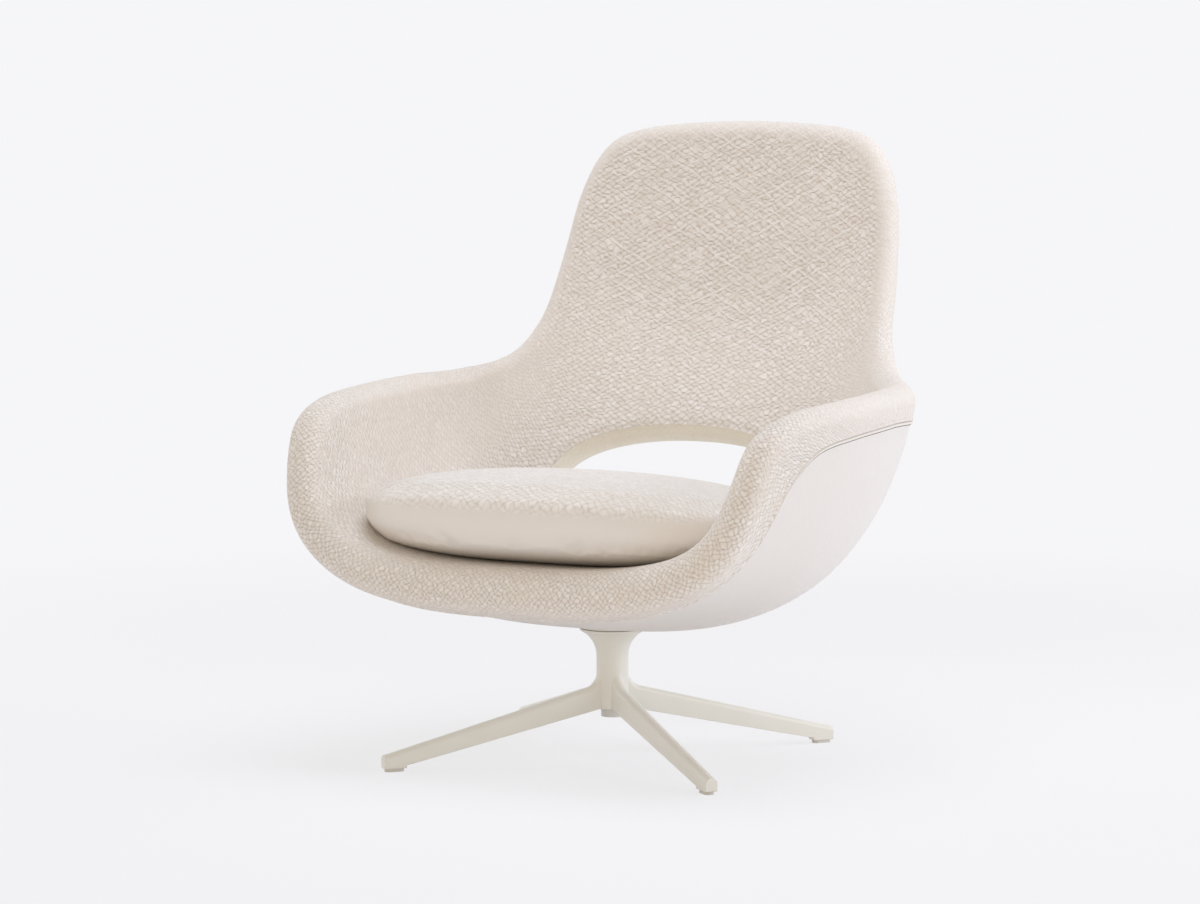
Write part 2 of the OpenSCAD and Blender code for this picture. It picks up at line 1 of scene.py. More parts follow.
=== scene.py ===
# %% [markdown]
# # A pedestal swivel armchair
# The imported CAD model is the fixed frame. Its hard parts stay and only get a finish.
# Its soft solids are replaced here by covers, seams and a cushion that fill the same space.

# %% Load the frame
import bpy
import bmesh
import math
import numpy as np
from mathutils.bvhtree import BVHTree
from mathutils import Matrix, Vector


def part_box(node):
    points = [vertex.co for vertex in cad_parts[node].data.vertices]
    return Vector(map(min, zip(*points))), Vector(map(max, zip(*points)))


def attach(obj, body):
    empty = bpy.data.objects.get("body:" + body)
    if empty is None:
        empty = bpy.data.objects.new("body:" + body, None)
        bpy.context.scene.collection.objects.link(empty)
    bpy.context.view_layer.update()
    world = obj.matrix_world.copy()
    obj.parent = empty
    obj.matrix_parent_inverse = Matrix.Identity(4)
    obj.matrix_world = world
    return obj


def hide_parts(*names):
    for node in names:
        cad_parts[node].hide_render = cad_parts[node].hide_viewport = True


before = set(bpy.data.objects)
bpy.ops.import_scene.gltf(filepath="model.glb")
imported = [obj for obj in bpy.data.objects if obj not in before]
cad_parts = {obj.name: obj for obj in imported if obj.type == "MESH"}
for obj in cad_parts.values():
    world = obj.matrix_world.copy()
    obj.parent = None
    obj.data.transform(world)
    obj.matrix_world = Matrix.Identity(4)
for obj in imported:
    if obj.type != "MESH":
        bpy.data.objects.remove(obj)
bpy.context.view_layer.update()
scene = bpy.context.scene

# %% [markdown]
# ## The shell as a surface
# The real chair starts as one moulded shell. Here it is a surface with two coordinates: s runs
# across it from arm to arm and t runs from the front lip, under the seat, up to the head. A
# short table of stations gives its shape, as the CAD model's does, so both fill the same space.
# A sculpted mesh could follow the photograph too, but each cover would then be fitted by hand.

# %% Sizes of the shell, in metres
SHELL_W, SHELL_D, SHELL_H = 0.806, 0.826, 0.740
WALL = 0.057
HALF = WALL / 2
DECK = 0.036
SHELL_FLOOR = 0.200 + HALF
AXIS_Y = (0.425 * SHELL_D - 0.575 * SHELL_D - 0.4 * WALL) / 2
# One row for each station from the front lip to the head: depth and height of the rim, depth and
# height of the middle, and the width, as shares of the shell's, then squareness and end angle.
STATIONS = np.array([
    [-0.401, 0.319, -0.425, 0.085, 0.911, 3.2, 88],
    [-0.336, 0.405, -0.343, 0.060, 0.938, 3.1, 88],
    [-0.221, 0.442, -0.209, 0.031, 0.975, 3.0, 88],
    [-0.067, 0.453, -0.053, 0.001, 1.004, 3.0, 88],
    [0.097, 0.462, 0.083, 0.016, 1.003, 2.9, 88],
    [0.249, 0.466, 0.189, 0.094, 0.956, 2.7, 86],
    [0.338, 0.490, 0.271, 0.221, 0.844, 2.4, 76],
    [0.402, 0.562, 0.361, 0.367, 0.768, 2.2, 65],
    [0.462, 0.689, 0.471, 0.562, 0.734, 2.1, 58],
    [0.509, 0.831, 0.533, 0.784, 0.706, 2.0, 55],
    [0.540, 0.966, 0.575, 1.002, 0.654, 2.05, 54]])
# The lumbar opening, the raised deck and the outline's corners, in the shell's coordinates.
EYE_HALF, EYE_UP, EYE_DOWN, EYE_MID = 0.39, 0.175, 0.165, 0.17
DECK_HALF, DECK_LONG, DECK_MID = 0.85, 0.68, -0.5
HEAD_SQUARE, LIP_SQUARE = 9, 10


def sheet(s, t):
    """Points of the shell's middle surface."""
    rows = np.vstack([2 * STATIONS[0] - STATIONS[1], STATIONS, 2 * STATIONS[-1] - STATIONS[-2]])
    x = np.clip((t + 1) / 2, 0, 1) * (len(STATIONS) - 1)
    i = np.minimum(np.floor(x).astype(int), len(STATIONS) - 2)
    u = (x - i)[..., None]
    a, b, c, d = rows[i], rows[i + 1], rows[i + 2], rows[i + 3]
    k = 0.5 * (2 * b + (c - a) * u + (2 * a - 5 * b + 4 * c - d) * u * u + (3 * b - a - 3 * c + d) * u ** 3)
    end_angle, power = np.radians(k[..., 6]), 2 / k[..., 5]
    angle = np.minimum(np.abs(s), 1) * end_angle
    side = np.sin(angle) ** power / np.sin(end_angle) ** power
    end = np.cos(end_angle) ** power
    deep = (np.cos(angle) ** power - end) / (1 - end)
    return np.stack([np.sign(s) * side * k[..., 4] * SHELL_W / 2,
                     (k[..., 0] + (k[..., 2] - k[..., 0]) * deep) * SHELL_D + AXIS_Y,
                     SHELL_FLOOR + (k[..., 1] + (k[..., 3] - k[..., 1]) * deep) * SHELL_H], -1)


# %% Rings round the lumbar opening
def place(angle, r):
    """Shell coordinates at an angle round the opening: r is 0 at its edge and 1 at the outer rim."""
    c, s = np.cos(angle), np.sin(angle)
    m = np.where(s > 0, HEAD_SQUARE, LIP_SQUARE)
    out = (np.abs(c) ** m + np.abs(s) ** m) ** (-1 / m)
    eye = np.stack([EYE_HALF * c, np.where(s > 0, EYE_UP, EYE_DOWN) * s + EYE_MID], -1)
    return eye + (np.stack([out * c, out * s], -1) - eye) * r[..., None]


def at(angle, r):
    p = place(angle, r)
    return sheet(p[..., 0], p[..., 1])


def facing(angle, r, e=1e-3):
    """Unit normals towards the sitter."""
    q = np.clip(r, e, 1 - e)
    n = np.cross(at(angle, q + e) - at(angle, q - e), at(angle + e, q) - at(angle - e, q))
    return n / np.linalg.norm(n, axis=-1)[..., None]


def gain(angle, r, along=None, e=1e-3):
    """Metres per unit of r, square to a line along the shell."""
    if along is None:
        along = at(angle + e, r) - at(angle - e, r)
    along = along / np.linalg.norm(along, axis=-1)[..., None]
    q = np.clip(r, e, 1 - e)
    return np.linalg.norm(np.cross(at(angle, q + e) - at(angle, q - e), along), axis=-1) / (2 * e)


def deck(p):
    """Extra height of the padding under the cushion."""
    a = np.clip(1 - (p[..., 0] / DECK_HALF) ** 2, 0, 1)
    b = np.clip(1 - ((p[..., 1] - DECK_MID) / DECK_LONG) ** 2, 0, 1)
    return DECK * a * a * b * b


def fade(x, start, end):
    """0 up to start, 1 from end on, and straight between; end may be the smaller one."""
    return np.clip((x - start) / (end - start), 0, 1)


AROUND = 400
# The angles bunch together at the outline's four corners, where the shell bends most.
BUNCH = math.radians(6)
turn = 2 * np.pi * (np.arange(AROUND) + 0.5) / AROUND + math.pi / 2
ANGLES = (turn + BUNCH * np.sin(4 * turn))[:, None]
ONES = np.ones_like(ANGLES)
RIM_GAIN, EYE_GAIN = gain(ANGLES, ONES), gain(ANGLES, 0 * ONES)
print("rings of", AROUND, "points; rim gain", RIM_GAIN.min().round(3), "to", RIM_GAIN.max().round(3))

# %% [markdown]
# ## Seams
# The covers meet in two seams that run right round the shell: one on its back, 60 mm in from the
# rim, and one round the lumbar opening. Each could be drawn by hand, but a line at one distance
# from its edge is what a sewer marks. Only round the shell's corners is the outer one evened out,
# as cloth can't be sewn in a sudden bend. Both covers stop short of the cord in a seam.

# %% Seam lines
SEAM_INSET = 0.060
WELT_R = 0.003
SEAM_CLEAR = 0.0004
EYE_MARGIN = 0.002
EYE_SEAM_INSET = HALF + EYE_MARGIN + WELT_R + SEAM_CLEAR
# The outer seam is worked out at this many angles and evened out over some of them to each side.
FINE_STEPS = 1440
EASE = 24
REACH = 3 * EASE
fine = np.linspace(0, 2 * np.pi, FINE_STEPS, endpoint=False)
inset_r = 1 - SEAM_INSET / gain(fine, np.ones_like(fine))
weights = np.exp(-0.5 * (np.arange(-REACH, REACH + 1) / EASE) ** 2)
run_over = np.concatenate([inset_r[-REACH:], inset_r, inset_r[:REACH]])
eased_r = np.convolve(run_over, weights / weights.sum(), "valid")


def rim_seam_r(angle):
    """Where the outer seam runs, as r at an angle."""
    return np.interp(angle, fine, eased_r, period=2 * np.pi)


def eye_seam_r(angle):
    return EYE_SEAM_INSET / gain(angle, np.zeros_like(angle))


def groove(angle, seam, e=1e-3):
    """From a seam's line to the edge of a cover beside it, as a step of r."""
    along = at(angle + e, seam(angle + e)) - at(angle - e, seam(angle - e))
    return (WELT_R + SEAM_CLEAR) / gain(angle, seam(angle), along)


rim_seam, eye_seam = rim_seam_r(ANGLES), eye_seam_r(ANGLES)
rim_groove, eye_groove = groove(ANGLES, rim_seam_r), groove(ANGLES, eye_seam_r)
print("outer seam at r", rim_seam.min().round(3), "to", rim_seam.max().round(3))
print("opening's seam at r", eye_seam.min().round(3), "to", eye_seam.max().round(3))

# %% [markdown]
# ## Fabric coordinates
# A woven cover has threads that keep their spacing, so its pattern can't simply be projected.
# Measured lengths along the shell serve as the cover's own UV map, in metres. Where the cover
# turns over a rim the length simply runs on, as the fabric does.

# %% Lengths along the shell
STEPS_S, STEPS_T = 160, 240
MIDDLE, BACK_ROW, ZERO_ROW, LEVEL_ROW = STEPS_S // 2, STEPS_T // 2, 72, 204
grid_s, grid_t = np.linspace(-1, 1, STEPS_S + 1), np.linspace(-1, 1, STEPS_T + 1)
grid = sheet(*np.meshgrid(grid_s, grid_t))
step_s = np.linalg.norm(np.diff(grid, axis=1), axis=-1)
step_t = np.linalg.norm(np.diff(grid, axis=0), axis=-1)
cloth_u = np.concatenate([np.zeros((STEPS_T + 1, 1)), np.cumsum(step_s, 1)], 1)
cloth_u -= cloth_u[:, MIDDLE:MIDDLE + 1]
cloth_v = np.concatenate([np.zeros((1, STEPS_S + 1)), np.cumsum(step_t, 0)], 0)
cloth_v -= cloth_v[ZERO_ROW:ZERO_ROW + 1]
# The sides of the back are shorter than its middle, so the weave is let down there to run level.
middle_height, middle_v = grid[BACK_ROW:, MIDDLE, 2], cloth_v[BACK_ROW:, MIDDLE]
lag = np.interp(grid[LEVEL_ROW, :, 2], middle_height, middle_v) - cloth_v[LEVEL_ROW]
level = fade(grid_t, -0.1, 0.4)
cloth_v += (level * level * (3 - 2 * level))[:, None] * lag


def cloth_uv(p):
    """Cover lengths at shell coordinates, read off the measured grid."""
    x = np.clip((p[..., 0] + 1) / 2, 0, 1) * STEPS_S
    y = np.clip((p[..., 1] + 1) / 2, 0, 1) * STEPS_T
    i, j = np.minimum(x.astype(int), STEPS_S - 1), np.minimum(y.astype(int), STEPS_T - 1)
    u, v = x - i, y - j
    return np.stack([(g[j, i] * (1 - u) + g[j, i + 1] * u) * (1 - v) +
                     (g[j + 1, i] * (1 - u) + g[j + 1, i + 1] * u) * v for g in (cloth_u, cloth_v)], -1)


across, down = float(np.ptp(cloth_u[100])), float(np.ptp(cloth_v[:, MIDDLE]))
print("cover", round(across, 3), "m across,", round(down, 3), "m long")

# %% [markdown]
# ## Building a cover from rings
# Each cover is a strip that closes on itself round the shell. A section is drawn once as values
# of r and height; numpy repeats it at every angle, and the edges are then drawn in towards the
# seam. Small uneven puckers beside the seam are what makes a sewn edge look sewn.

# %% Helpers for rings of points
def ramp(a, b, n, ends=False):
    """n values from a to b for each angle, without the ends unless asked for."""
    u = np.linspace(0, 1, n if ends else n + 2)
    return a + (b - a) * (u if ends else u[1:-1])


def edge_profile(tip, full, first, last, n, lift=HALF):
    """The rounded edge: r, height and share of the deck, from one profile angle to another."""
    a = np.radians(np.linspace(first, last, n))
    r = tip + (full - tip) * (1 - np.cos(a))
    return r, lift * np.sin(a) * ONES, np.maximum(np.sin(a), 0) * ONES


def join(*parts):
    """Parts of a section side by side, as one section at every angle."""
    return tuple(np.concatenate([np.broadcast_to(p[k], (AROUND, np.shape(p[k])[-1])) for p in parts], 1)
                 for k in range(3))


def flat(r, h, share):
    """A part of a section at one height."""
    return r, np.full_like(r, h), np.full_like(r, share)


def raise_points(section):
    """A section's points, set off from the middle surface."""
    r, h, share = section
    a = np.broadcast_to(ANGLES, r.shape)
    return at(a, r) + facing(a, r) * (h + share * deck(place(a, r)))[..., None]


def outward(P):
    """Unit normals of a ring grid."""
    along = np.roll(P, -1, 0) - np.roll(P, 1, 0)
    across = np.gradient(P, axis=1)
    n = np.cross(across, along)
    return n / np.maximum(np.linalg.norm(n, axis=-1), 1e-12)[..., None]


def lengths(P):
    """Distance along each section from its first point."""
    step = np.linalg.norm(np.diff(P, axis=1), axis=-1)
    return np.concatenate([np.zeros((len(P), 1)), np.cumsum(step, 1)], 1)


CELLS = 64
NOISE = np.random.RandomState(7).uniform(-1, 1, (CELLS, CELLS))


def soft_noise(x, y):
    """Smooth repeatable noise from -1 to 1, with one bump per unit."""
    i, j = np.floor(x).astype(int), np.floor(y).astype(int)
    u, v = x - i, y - j
    u, v = u * u * (3 - 2 * u), v * v * (3 - 2 * v)
    near = NOISE[i % CELLS, j % CELLS] * (1 - u) + NOISE[(i + 1) % CELLS, j % CELLS] * u
    far = NOISE[i % CELLS, (j + 1) % CELLS] * (1 - u) + NOISE[(i + 1) % CELLS, (j + 1) % CELLS] * u
    return near * (1 - v) + far * v


def sewn_edge(q, depth=0.0017, width=0.007):
    """How far a cover dips, q metres from its sewn edge."""
    x = np.clip(q / width, 0, 1)
    return -depth * (1 - np.sqrt(1 - (1 - x) ** 2))


def puckers(q, along, size=0.0006, spacing=0.011, reach=0.016, length=0.03, start=0.003):
    """How far a cover is lifted q metres from its sewn edge, as the thread gathers it."""
    return size * soft_noise(along / spacing, q / length) * np.exp(-q / reach) * fade(q, 0, start)


# %% From rings to a mesh
def ring_mesh(name, P, maps, shares=None):
    """A mesh of quads from rings; maps gives each UV map as rings with one more row than P."""
    m, k = P.shape[:2]
    i, j = np.meshgrid(np.arange(m), np.arange(k - 1), indexing="ij")
    i, j = i.ravel(), j.ravel()
    rows = np.stack([i, i + 1, i + 1, i], 1)
    cols = np.stack([j, j, j + 1, j + 1], 1)
    mesh = bpy.data.meshes.new(name)
    mesh.from_pydata(P.reshape(-1, 3).tolist(), [], ((rows % m) * k + cols).tolist())
    for uv_name, uv in maps.items():
        layer = mesh.uv_layers.new(name=uv_name)
        layer.data.foreach_set("uv", uv[rows, cols].reshape(-1).astype(np.float32))
    for attr_name, values in (shares or {}).items():
        layer = mesh.attributes.new(attr_name, "FLOAT", "POINT")
        layer.data.foreach_set("value", values.reshape(-1).astype(np.float32))
    mesh.shade_smooth()
    mesh.update()
    obj = bpy.data.objects.new(name, mesh)
    scene.collection.objects.link(obj)
    return obj


def closed(uv):
    """Rings with the first one repeated at the end."""
    return np.concatenate([uv, uv[:1]], 0)


def along_ring(P, column):
    """Length round the shell at one column, for every point, and once more at the end."""
    line = P[:, column]
    step = np.linalg.norm(np.roll(line, -1, 0) - line, axis=-1)
    return np.concatenate([[0], np.cumsum(step)])


# %% [markdown]
# ## The inner cover
# One padded cover faces the sitter, turns over the rim and is sewn on the back. On the front
# shoulder of the lumbar opening it meets the strip that lines it. Its section runs from the back
# seam over the rim, across the front face and onto that shoulder. A cloth simulation would only
# stretch it over the same shell, so its form is worked out and its unevenness added.

# %% Inner cover
SHOULDER = 58
BACK_COLUMNS, RIM_COLUMNS = 8, 37
RIM_TIP, RIM_END = BACK_COLUMNS + RIM_COLUMNS // 2, BACK_COLUMNS + RIM_COLUMNS - 2
# Beside a sewn edge the slow unevenness sets in over this distance.
CALM = 0.03
rim_full, eye_full = 1 - HALF / RIM_GAIN, HALF / EYE_GAIN
back_part = flat(ramp(rim_seam + rim_groove, rim_full, BACK_COLUMNS, ends=True), -HALF, 0)
rim_part = edge_profile(1.0, rim_full, -90, 90, RIM_COLUMNS)
face_part = flat(ramp(rim_full, eye_full, 70), HALF, 1)
shoulder_part = edge_profile(0.0, eye_full, 90, SHOULDER, 9)
inner = raise_points(join(back_part, [v[:, 1:] for v in rim_part], face_part, shoulder_part))
q = lengths(inner)
from_eye = q[:, -1:] - q
ring_len = along_ring(inner, RIM_TIP)
past_rim = q - q[:, RIM_TIP:RIM_TIP + 1]

# %% Weave of the inner cover
cover_r = np.concatenate([back_part[0], rim_part[0][:, 1:], face_part[0], shoulder_part[0]], 1)
cover_st = place(np.broadcast_to(ANGLES, cover_r.shape), cover_r)
aside, up = np.abs(cover_st[..., 0]), cover_st[..., 1]
# Shares for the weave: strands over the rim, raised lines on the back, and how full its puckers
# are, which is less where the cloth is stretched, on the arms and over the head.
rim_share = fade(np.abs(past_rim), 0.052, 0.022)
line_share = fade(up, 0.42, 0.62) * fade(aside, 0.95, 0.65)
arm = fade(aside, 0.55, 0.80) * fade(up, 0.50, 0.30) * fade(up, -0.65, -0.40)
head = fade(up, 0.35, 0.55) * rim_share
full = (1 - 0.45 * arm) * (1 - 0.6 * head)
# Over the rim and behind it the cloth's coordinates run straight on, as the fabric does.
uv = cloth_uv(cover_st)
edge = uv[:, RIM_END:RIM_END + 1]
away = edge - uv[:, RIM_END + 3:RIM_END + 4]
away /= np.linalg.norm(away, axis=-1)[..., None]
extra = np.clip(q[:, RIM_END:RIM_END + 1] - q, 0, None)[..., None]
uv = np.where(extra > 0, edge + away * extra, uv)
print("puckers at", round(float(full.min()) * 100), "to", round(float(full.max()) * 100), "% of their height")

# %% Sewn edges of the inner cover
soft = 0.0009 * soft_noise(uv[..., 0] / 0.11 + 9, uv[..., 1] / 0.11 + 5)
drop = sewn_edge(q) + puckers(q, ring_len[:-1, None]) + sewn_edge(from_eye, 0.0012, 0.006)
drop = drop + soft * fade(q, 0, CALM) * fade(from_eye, 0, CALM)
inner = inner + outward(inner) * drop[..., None]
strand_uv = np.stack(np.broadcast_arrays(ring_len[:, None], closed(past_rim)), -1)
inner_cover = ring_mesh("inner_cover", inner, {"cloth": closed(uv), "strand": strand_uv},
                        {"rim_share": rim_share, "line_share": line_share, "pucker_share": full})
print("inner cover:", len(inner_cover.data.polygons), "faces")
print("rim", round(float(ring_len[-1]), 3), "m round")

# %% [markdown]
# ## The opening's facing
# A separate strip lines the lumbar opening, from the front shoulder's seam round to the back,
# where the outer panel is sewn to it. The inner cover could simply run on, but one cloth wouldn't
# follow so tight a turn, and the strip's own edge gives the seam that such a chair has.

# %% Facing of the opening
FACING_RECESS = 0.001
wall_part = edge_profile(FACING_RECESS / EYE_GAIN, eye_full, SHOULDER, -90, 29, HALF - FACING_RECESS)
rear_part = flat(ramp(eye_full, eye_seam - eye_groove, 4, ends=True)[:, 1:], FACING_RECESS - HALF, 0)
lining = raise_points(join(wall_part, rear_part))
q = lengths(lining)
ring_len = along_ring(lining, lining.shape[1] // 2)
to_back = q[:, -1:] - q
drop = sewn_edge(q, 0.0014, 0.006) + sewn_edge(to_back) + puckers(q, ring_len[:-1, None], 0.0005, 0.009)
lining = lining + outward(lining) * drop[..., None]
strand_uv = np.stack(np.broadcast_arrays(ring_len[:, None], closed(q)), -1)
opening_lining = ring_mesh("opening_lining", lining, {"cloth": strand_uv, "strand": strand_uv},
                           {"rim_share": np.full(q.shape, 0.5), "pucker_share": np.full(q.shape, 0.6)})
print("facing:", round(float(q[:, -1].mean()) * 1000, 1), "mm wide")
print("opening", round(float(ring_len[-1]), 3), "m round")

# %% [markdown]
# ## The outer panel
# The back of the shell is one smoother panel that lies 2 mm lower than the rim's cover. Above the
# column's flare it has a round hole for the mounting plate. A boolean would leave ragged faces, so
# the points inside the hole are deleted and those beside it are moved onto its edge.

# %% Outer panel
RECESS, HOLE, HOLE_NEAR = 0.002, 0.051, 0.03
panel_r = ramp(rim_seam - rim_groove, eye_seam + eye_groove, 70, ends=True)
outer = raise_points(flat(panel_r, -HALF + RECESS, 0))[:, ::-1]
q = lengths(outer)
to_rim = q[:, -1:] - q
uv = cloth_uv(place(np.broadcast_to(ANGLES, panel_r.shape), panel_r))[:, ::-1]
ring_len = along_ring(outer, -1)
soft = 0.0008 * soft_noise(uv[..., 0] / 0.13 + 31, uv[..., 1] / 0.13 + 17)
drop = sewn_edge(q) + sewn_edge(to_rim) + puckers(to_rim, ring_len[:-1, None], 0.0005)
drop += soft * fade(q, 0, CALM) * fade(to_rim, 0, CALM)
outer = outer + outward(outer) * drop[..., None]
strand_uv = np.stack(np.broadcast_arrays(ring_len[:, None], closed(to_rim)), -1)
outer_panel = ring_mesh("outer_panel", outer, {"cloth": closed(uv), "strand": strand_uv},
                        {"pucker_share": np.full(q.shape, 0.25)})


# %% Hole for the mounting plate
def from_axis(v):
    """A point's distance to the swivel axis."""
    return math.hypot(v.co.x, v.co.y - AXIS_Y)


bm = bmesh.new()
bm.from_mesh(outer_panel.data)
inside = [v for v in bm.verts if from_axis(v) < HOLE]
bmesh.ops.delete(bm, geom=inside, context="VERTS")
for v in bm.verts:
    if v.is_boundary and from_axis(v) < HOLE + HOLE_NEAR:
        d = from_axis(v)
        v.co.x, v.co.y = v.co.x * HOLE / d, AXIS_Y + (v.co.y - AXIS_Y) * HOLE / d
bm.to_mesh(outer_panel.data)
bm.free()
print("outer panel:", len(outer_panel.data.polygons), "faces,", len(inside), "points cut for the plate")

# %% [markdown]
# ## Welts and stitches with Geometry Nodes
# A welt is a cord in a sleeve of fabric, sewn into the seam; topstitches repeat beside it. Both
# follow a path, so Geometry Nodes make them: a tree sweeps a circle along the seam, or sets small
# long beads along it at a fixed spacing, and the sizes are named inputs. A curve with a bevel
# would make the cord too, but not the stitches.

# %% Seam paths
def seam_path(name, seam, height):
    """A closed line of edges that follows a seam at a height off the middle surface."""
    r = seam(ANGLES[:, 0])
    pts = at(ANGLES[:, 0], r) + facing(ANGLES[:, 0], r) * height
    mesh = bpy.data.meshes.new(name)
    mesh.from_pydata(pts.tolist(), [(i, (i + 1) % AROUND) for i in range(AROUND)], [])
    obj = bpy.data.objects.new(name, mesh)
    scene.collection.objects.link(obj)
    return obj


# %% Adding a node
MATH = "ShaderNodeMath"


def add(tree, kind, inputs=(), **settings):
    """Adds a node with its settings, and fills its inputs from other sockets or plain values.

    The inputs are a dictionary, by name or number, or a tuple in the order of the node's own."""
    node = tree.nodes.new(kind)
    for key, value in settings.items():
        if hasattr(node, key):
            setattr(node, key, value)
        else:
            node.inputs[key.replace("_", " ")].default_value = value
    for socket, source in inputs.items() if isinstance(inputs, dict) else enumerate(inputs):
        if isinstance(source, bpy.types.NodeSocket):
            tree.links.new(source, node.inputs[socket])
        else:
            node.inputs[socket].default_value = source
    return node


# %% A tree that follows a path
STITCH_R, STITCH_STEP, STITCH_LENGTH = 0.0006, 0.007, 0.0045


def path_tree(name, stitched):
    """Sweeps a cord along a path, or repeats a stitch along it."""
    tree = bpy.data.node_groups.new(name, "GeometryNodeTree")
    face = tree.interface
    face.new_socket("Path", in_out="INPUT", socket_type="NodeSocketGeometry")
    for size, default in (("Radius", WELT_R), ("Spacing", STITCH_STEP), ("Length", STITCH_LENGTH)):
        face.new_socket(size, in_out="INPUT", socket_type="NodeSocketFloat").default_value = default
    face.new_socket("Fabric", in_out="INPUT", socket_type="NodeSocketMaterial")
    face.new_socket("Geometry", in_out="OUTPUT", socket_type="NodeSocketGeometry")
    source = add(tree, "NodeGroupInput").outputs
    curve = add(tree, "GeometryNodeMeshToCurve", {"Mesh": source["Path"]}).outputs["Curve"]
    if stitched:
        points = add(tree, "GeometryNodeCurveToPoints", {"Curve": curve, "Length": source["Spacing"]},
                     mode="LENGTH")
        stitch = add(tree, "GeometryNodeMeshUVSphere", {"Radius": source["Radius"]}, Segments=8, Rings=6)
        twice = add(tree, MATH, (source["Radius"], 2.0), operation="MULTIPLY").outputs[0]
        ratio = add(tree, MATH, (source["Length"], twice), operation="DIVIDE").outputs[0]
        stretch = add(tree, "ShaderNodeCombineXYZ", (1.0, 1.0, ratio))
        copies = add(tree, "GeometryNodeInstanceOnPoints", {
            "Points": points.outputs["Points"], "Instance": stitch.outputs["Mesh"],
            "Rotation": points.outputs["Rotation"], "Scale": stretch.outputs["Vector"]})
        shape = add(tree, "GeometryNodeRealizeInstances", {"Geometry": copies.outputs["Instances"]})
    else:
        circle = add(tree, "GeometryNodeCurvePrimitiveCircle", {"Radius": source["Radius"]}, Resolution=14)
        cord = add(tree, "GeometryNodeCurveToMesh", {"Curve": curve, "Profile Curve": circle.outputs[0]})
        shape = add(tree, "GeometryNodeRealizeInstances", {"Geometry": cord.outputs["Mesh"]})
    dressed = add(tree, "GeometryNodeSetMaterial",
                  {"Geometry": shape.outputs["Geometry"], "Material": source["Fabric"]})
    add(tree, "NodeGroupOutput", {"Geometry": dressed.outputs["Geometry"]})
    return tree


# %% Running a tree along a path
def along_path(name, path, tree, material, **sizes):
    """Runs a path tree on a seam and keeps the result as a plain mesh."""
    modifier = path.modifiers.new("path", "NODES")
    modifier.node_group = tree
    ids = {item.name: item.identifier for item in tree.interface.items_tree if item.in_out == "INPUT"}
    modifier[ids["Fabric"]] = material
    for key, value in sizes.items():
        modifier[ids[key]] = value
    bpy.context.view_layer.update()
    evaluated = path.evaluated_get(bpy.context.evaluated_depsgraph_get())
    mesh = bpy.data.meshes.new_from_object(evaluated)
    mesh.shade_smooth()
    obj = bpy.data.objects.new(name, mesh)
    scene.collection.objects.link(obj)
    bpy.data.objects.remove(path)
    print(name, len(mesh.polygons), "faces")
    return obj


# %% [markdown]
# ## Colour and fabric
# The cover is a cream matelasse: two layers woven together, so that bands cross over and under
# and the cloth between their creases puckers. Long raised lines cross the back in diamonds, and
# on the rim the cloth is stretched, so its diamonds open into short strands that run across it.
# Real threads would be millions of faces, so the weave is drawn by math nodes on the cover's own
# lengths, as a height for the bump and a tone that follows it: painted light on the raised cloth
# and painted shade in its creases.

# %% Colours
def srgb(code):
    """An sRGB hex colour as linear values."""
    parts = [int(code[i:i + 2], 16) / 255 for i in (1, 3, 5)]
    return tuple(c / 12.92 if c <= 0.04045 else ((c + 0.055) / 1.055) ** 2.4 for c in parts) + (1.0,)


def new_material(name):
    material = bpy.data.materials.new(name)
    material.use_nodes = True
    material.node_tree.nodes.clear()
    return material, material.node_tree


def finish_material(tree, colour, roughness, normal, **constants):
    """Ends a material: the first three come from sockets or values, the rest are plain numbers."""
    shader = add(tree, "ShaderNodeBsdfPrincipled",
                 {"Base Color": colour, "Roughness": roughness, "Normal": normal})
    for key, value in constants.items():
        shader.inputs[key.replace("_", " ")].default_value = value
    add(tree, "ShaderNodeOutputMaterial", {"Surface": shader.outputs["BSDF"]})


# %% Sizes of the weave, in metres
# A pucker is 17 by 10 mm and a diamond of raised lines 38 by 21 mm, judged from the photograph.
PUCKER_W, PUCKER_H = 0.0170, 0.0100
LINE_W, LINE_H = 0.038, 0.021
STRAND_GAP, STRAND_LEN = 0.0095, 0.0105
# The yarn is finer in the real cloth; this is the finest grain that shows in the picture.
YARN = 0.0016
# The weave wanders slowly and crinkles finely: the size of each, and how far it shifts.
DRIFT, DRIFT_PUSH = 0.035, 0.010
WOBBLE, WOBBLE_PUSH = 0.011, 0.013
# Patches where the raised lines lie slack, and clouds of a warmer tone.
SLACK, CLOUD = 0.030, 0.09

# %% Heights of the weave, as shares of a full pucker
# How much puckers and strands differ from one to the next.
PUCKER_UNEVEN, STRAND_UNEVEN = 0.32, 0.3
# How sharp a raised line is, how high it stands and how fully it covers the puckers.
LINE_SHARP, LINE_TOP, LINE_COVER = 9.0, 1.25, 0.75
SLACK_LOW, SLACK_HIGH = 0.34, 0.54
YARN_SHARE = 0.12
# The height round which stretched cloth flattens, and the heights of the darkest and lightest tone,
# which are the painted shade of the creases and the painted light of the crests.
MEAN_PUCKER = 0.6
TONE_LOW, TONE_HIGH = 0.10, 1.05
CLOUD_LOW, CLOUD_HIGH, CLOUD_SHARE = 0.40, 0.75, 0.4
# A band is mostly flat across and a little round along.
CREST_SHARE, HUMP_SHARE = 0.7, 0.3


# %% Crossing bands
def diagonals(tree, plane, width, height):
    """Coordinates along two crossing diagonals, one unit to each diamond of the given size."""
    axes = add(tree, "ShaderNodeSeparateXYZ", (plane,)).outputs
    u = add(tree, MATH, (axes["X"], width), operation="DIVIDE").outputs[0]
    v = add(tree, MATH, (axes["Y"], height), operation="DIVIDE").outputs[0]
    return [add(tree, MATH, (u, v), operation=how).outputs[0] for how in ("ADD", "SUBTRACT")]


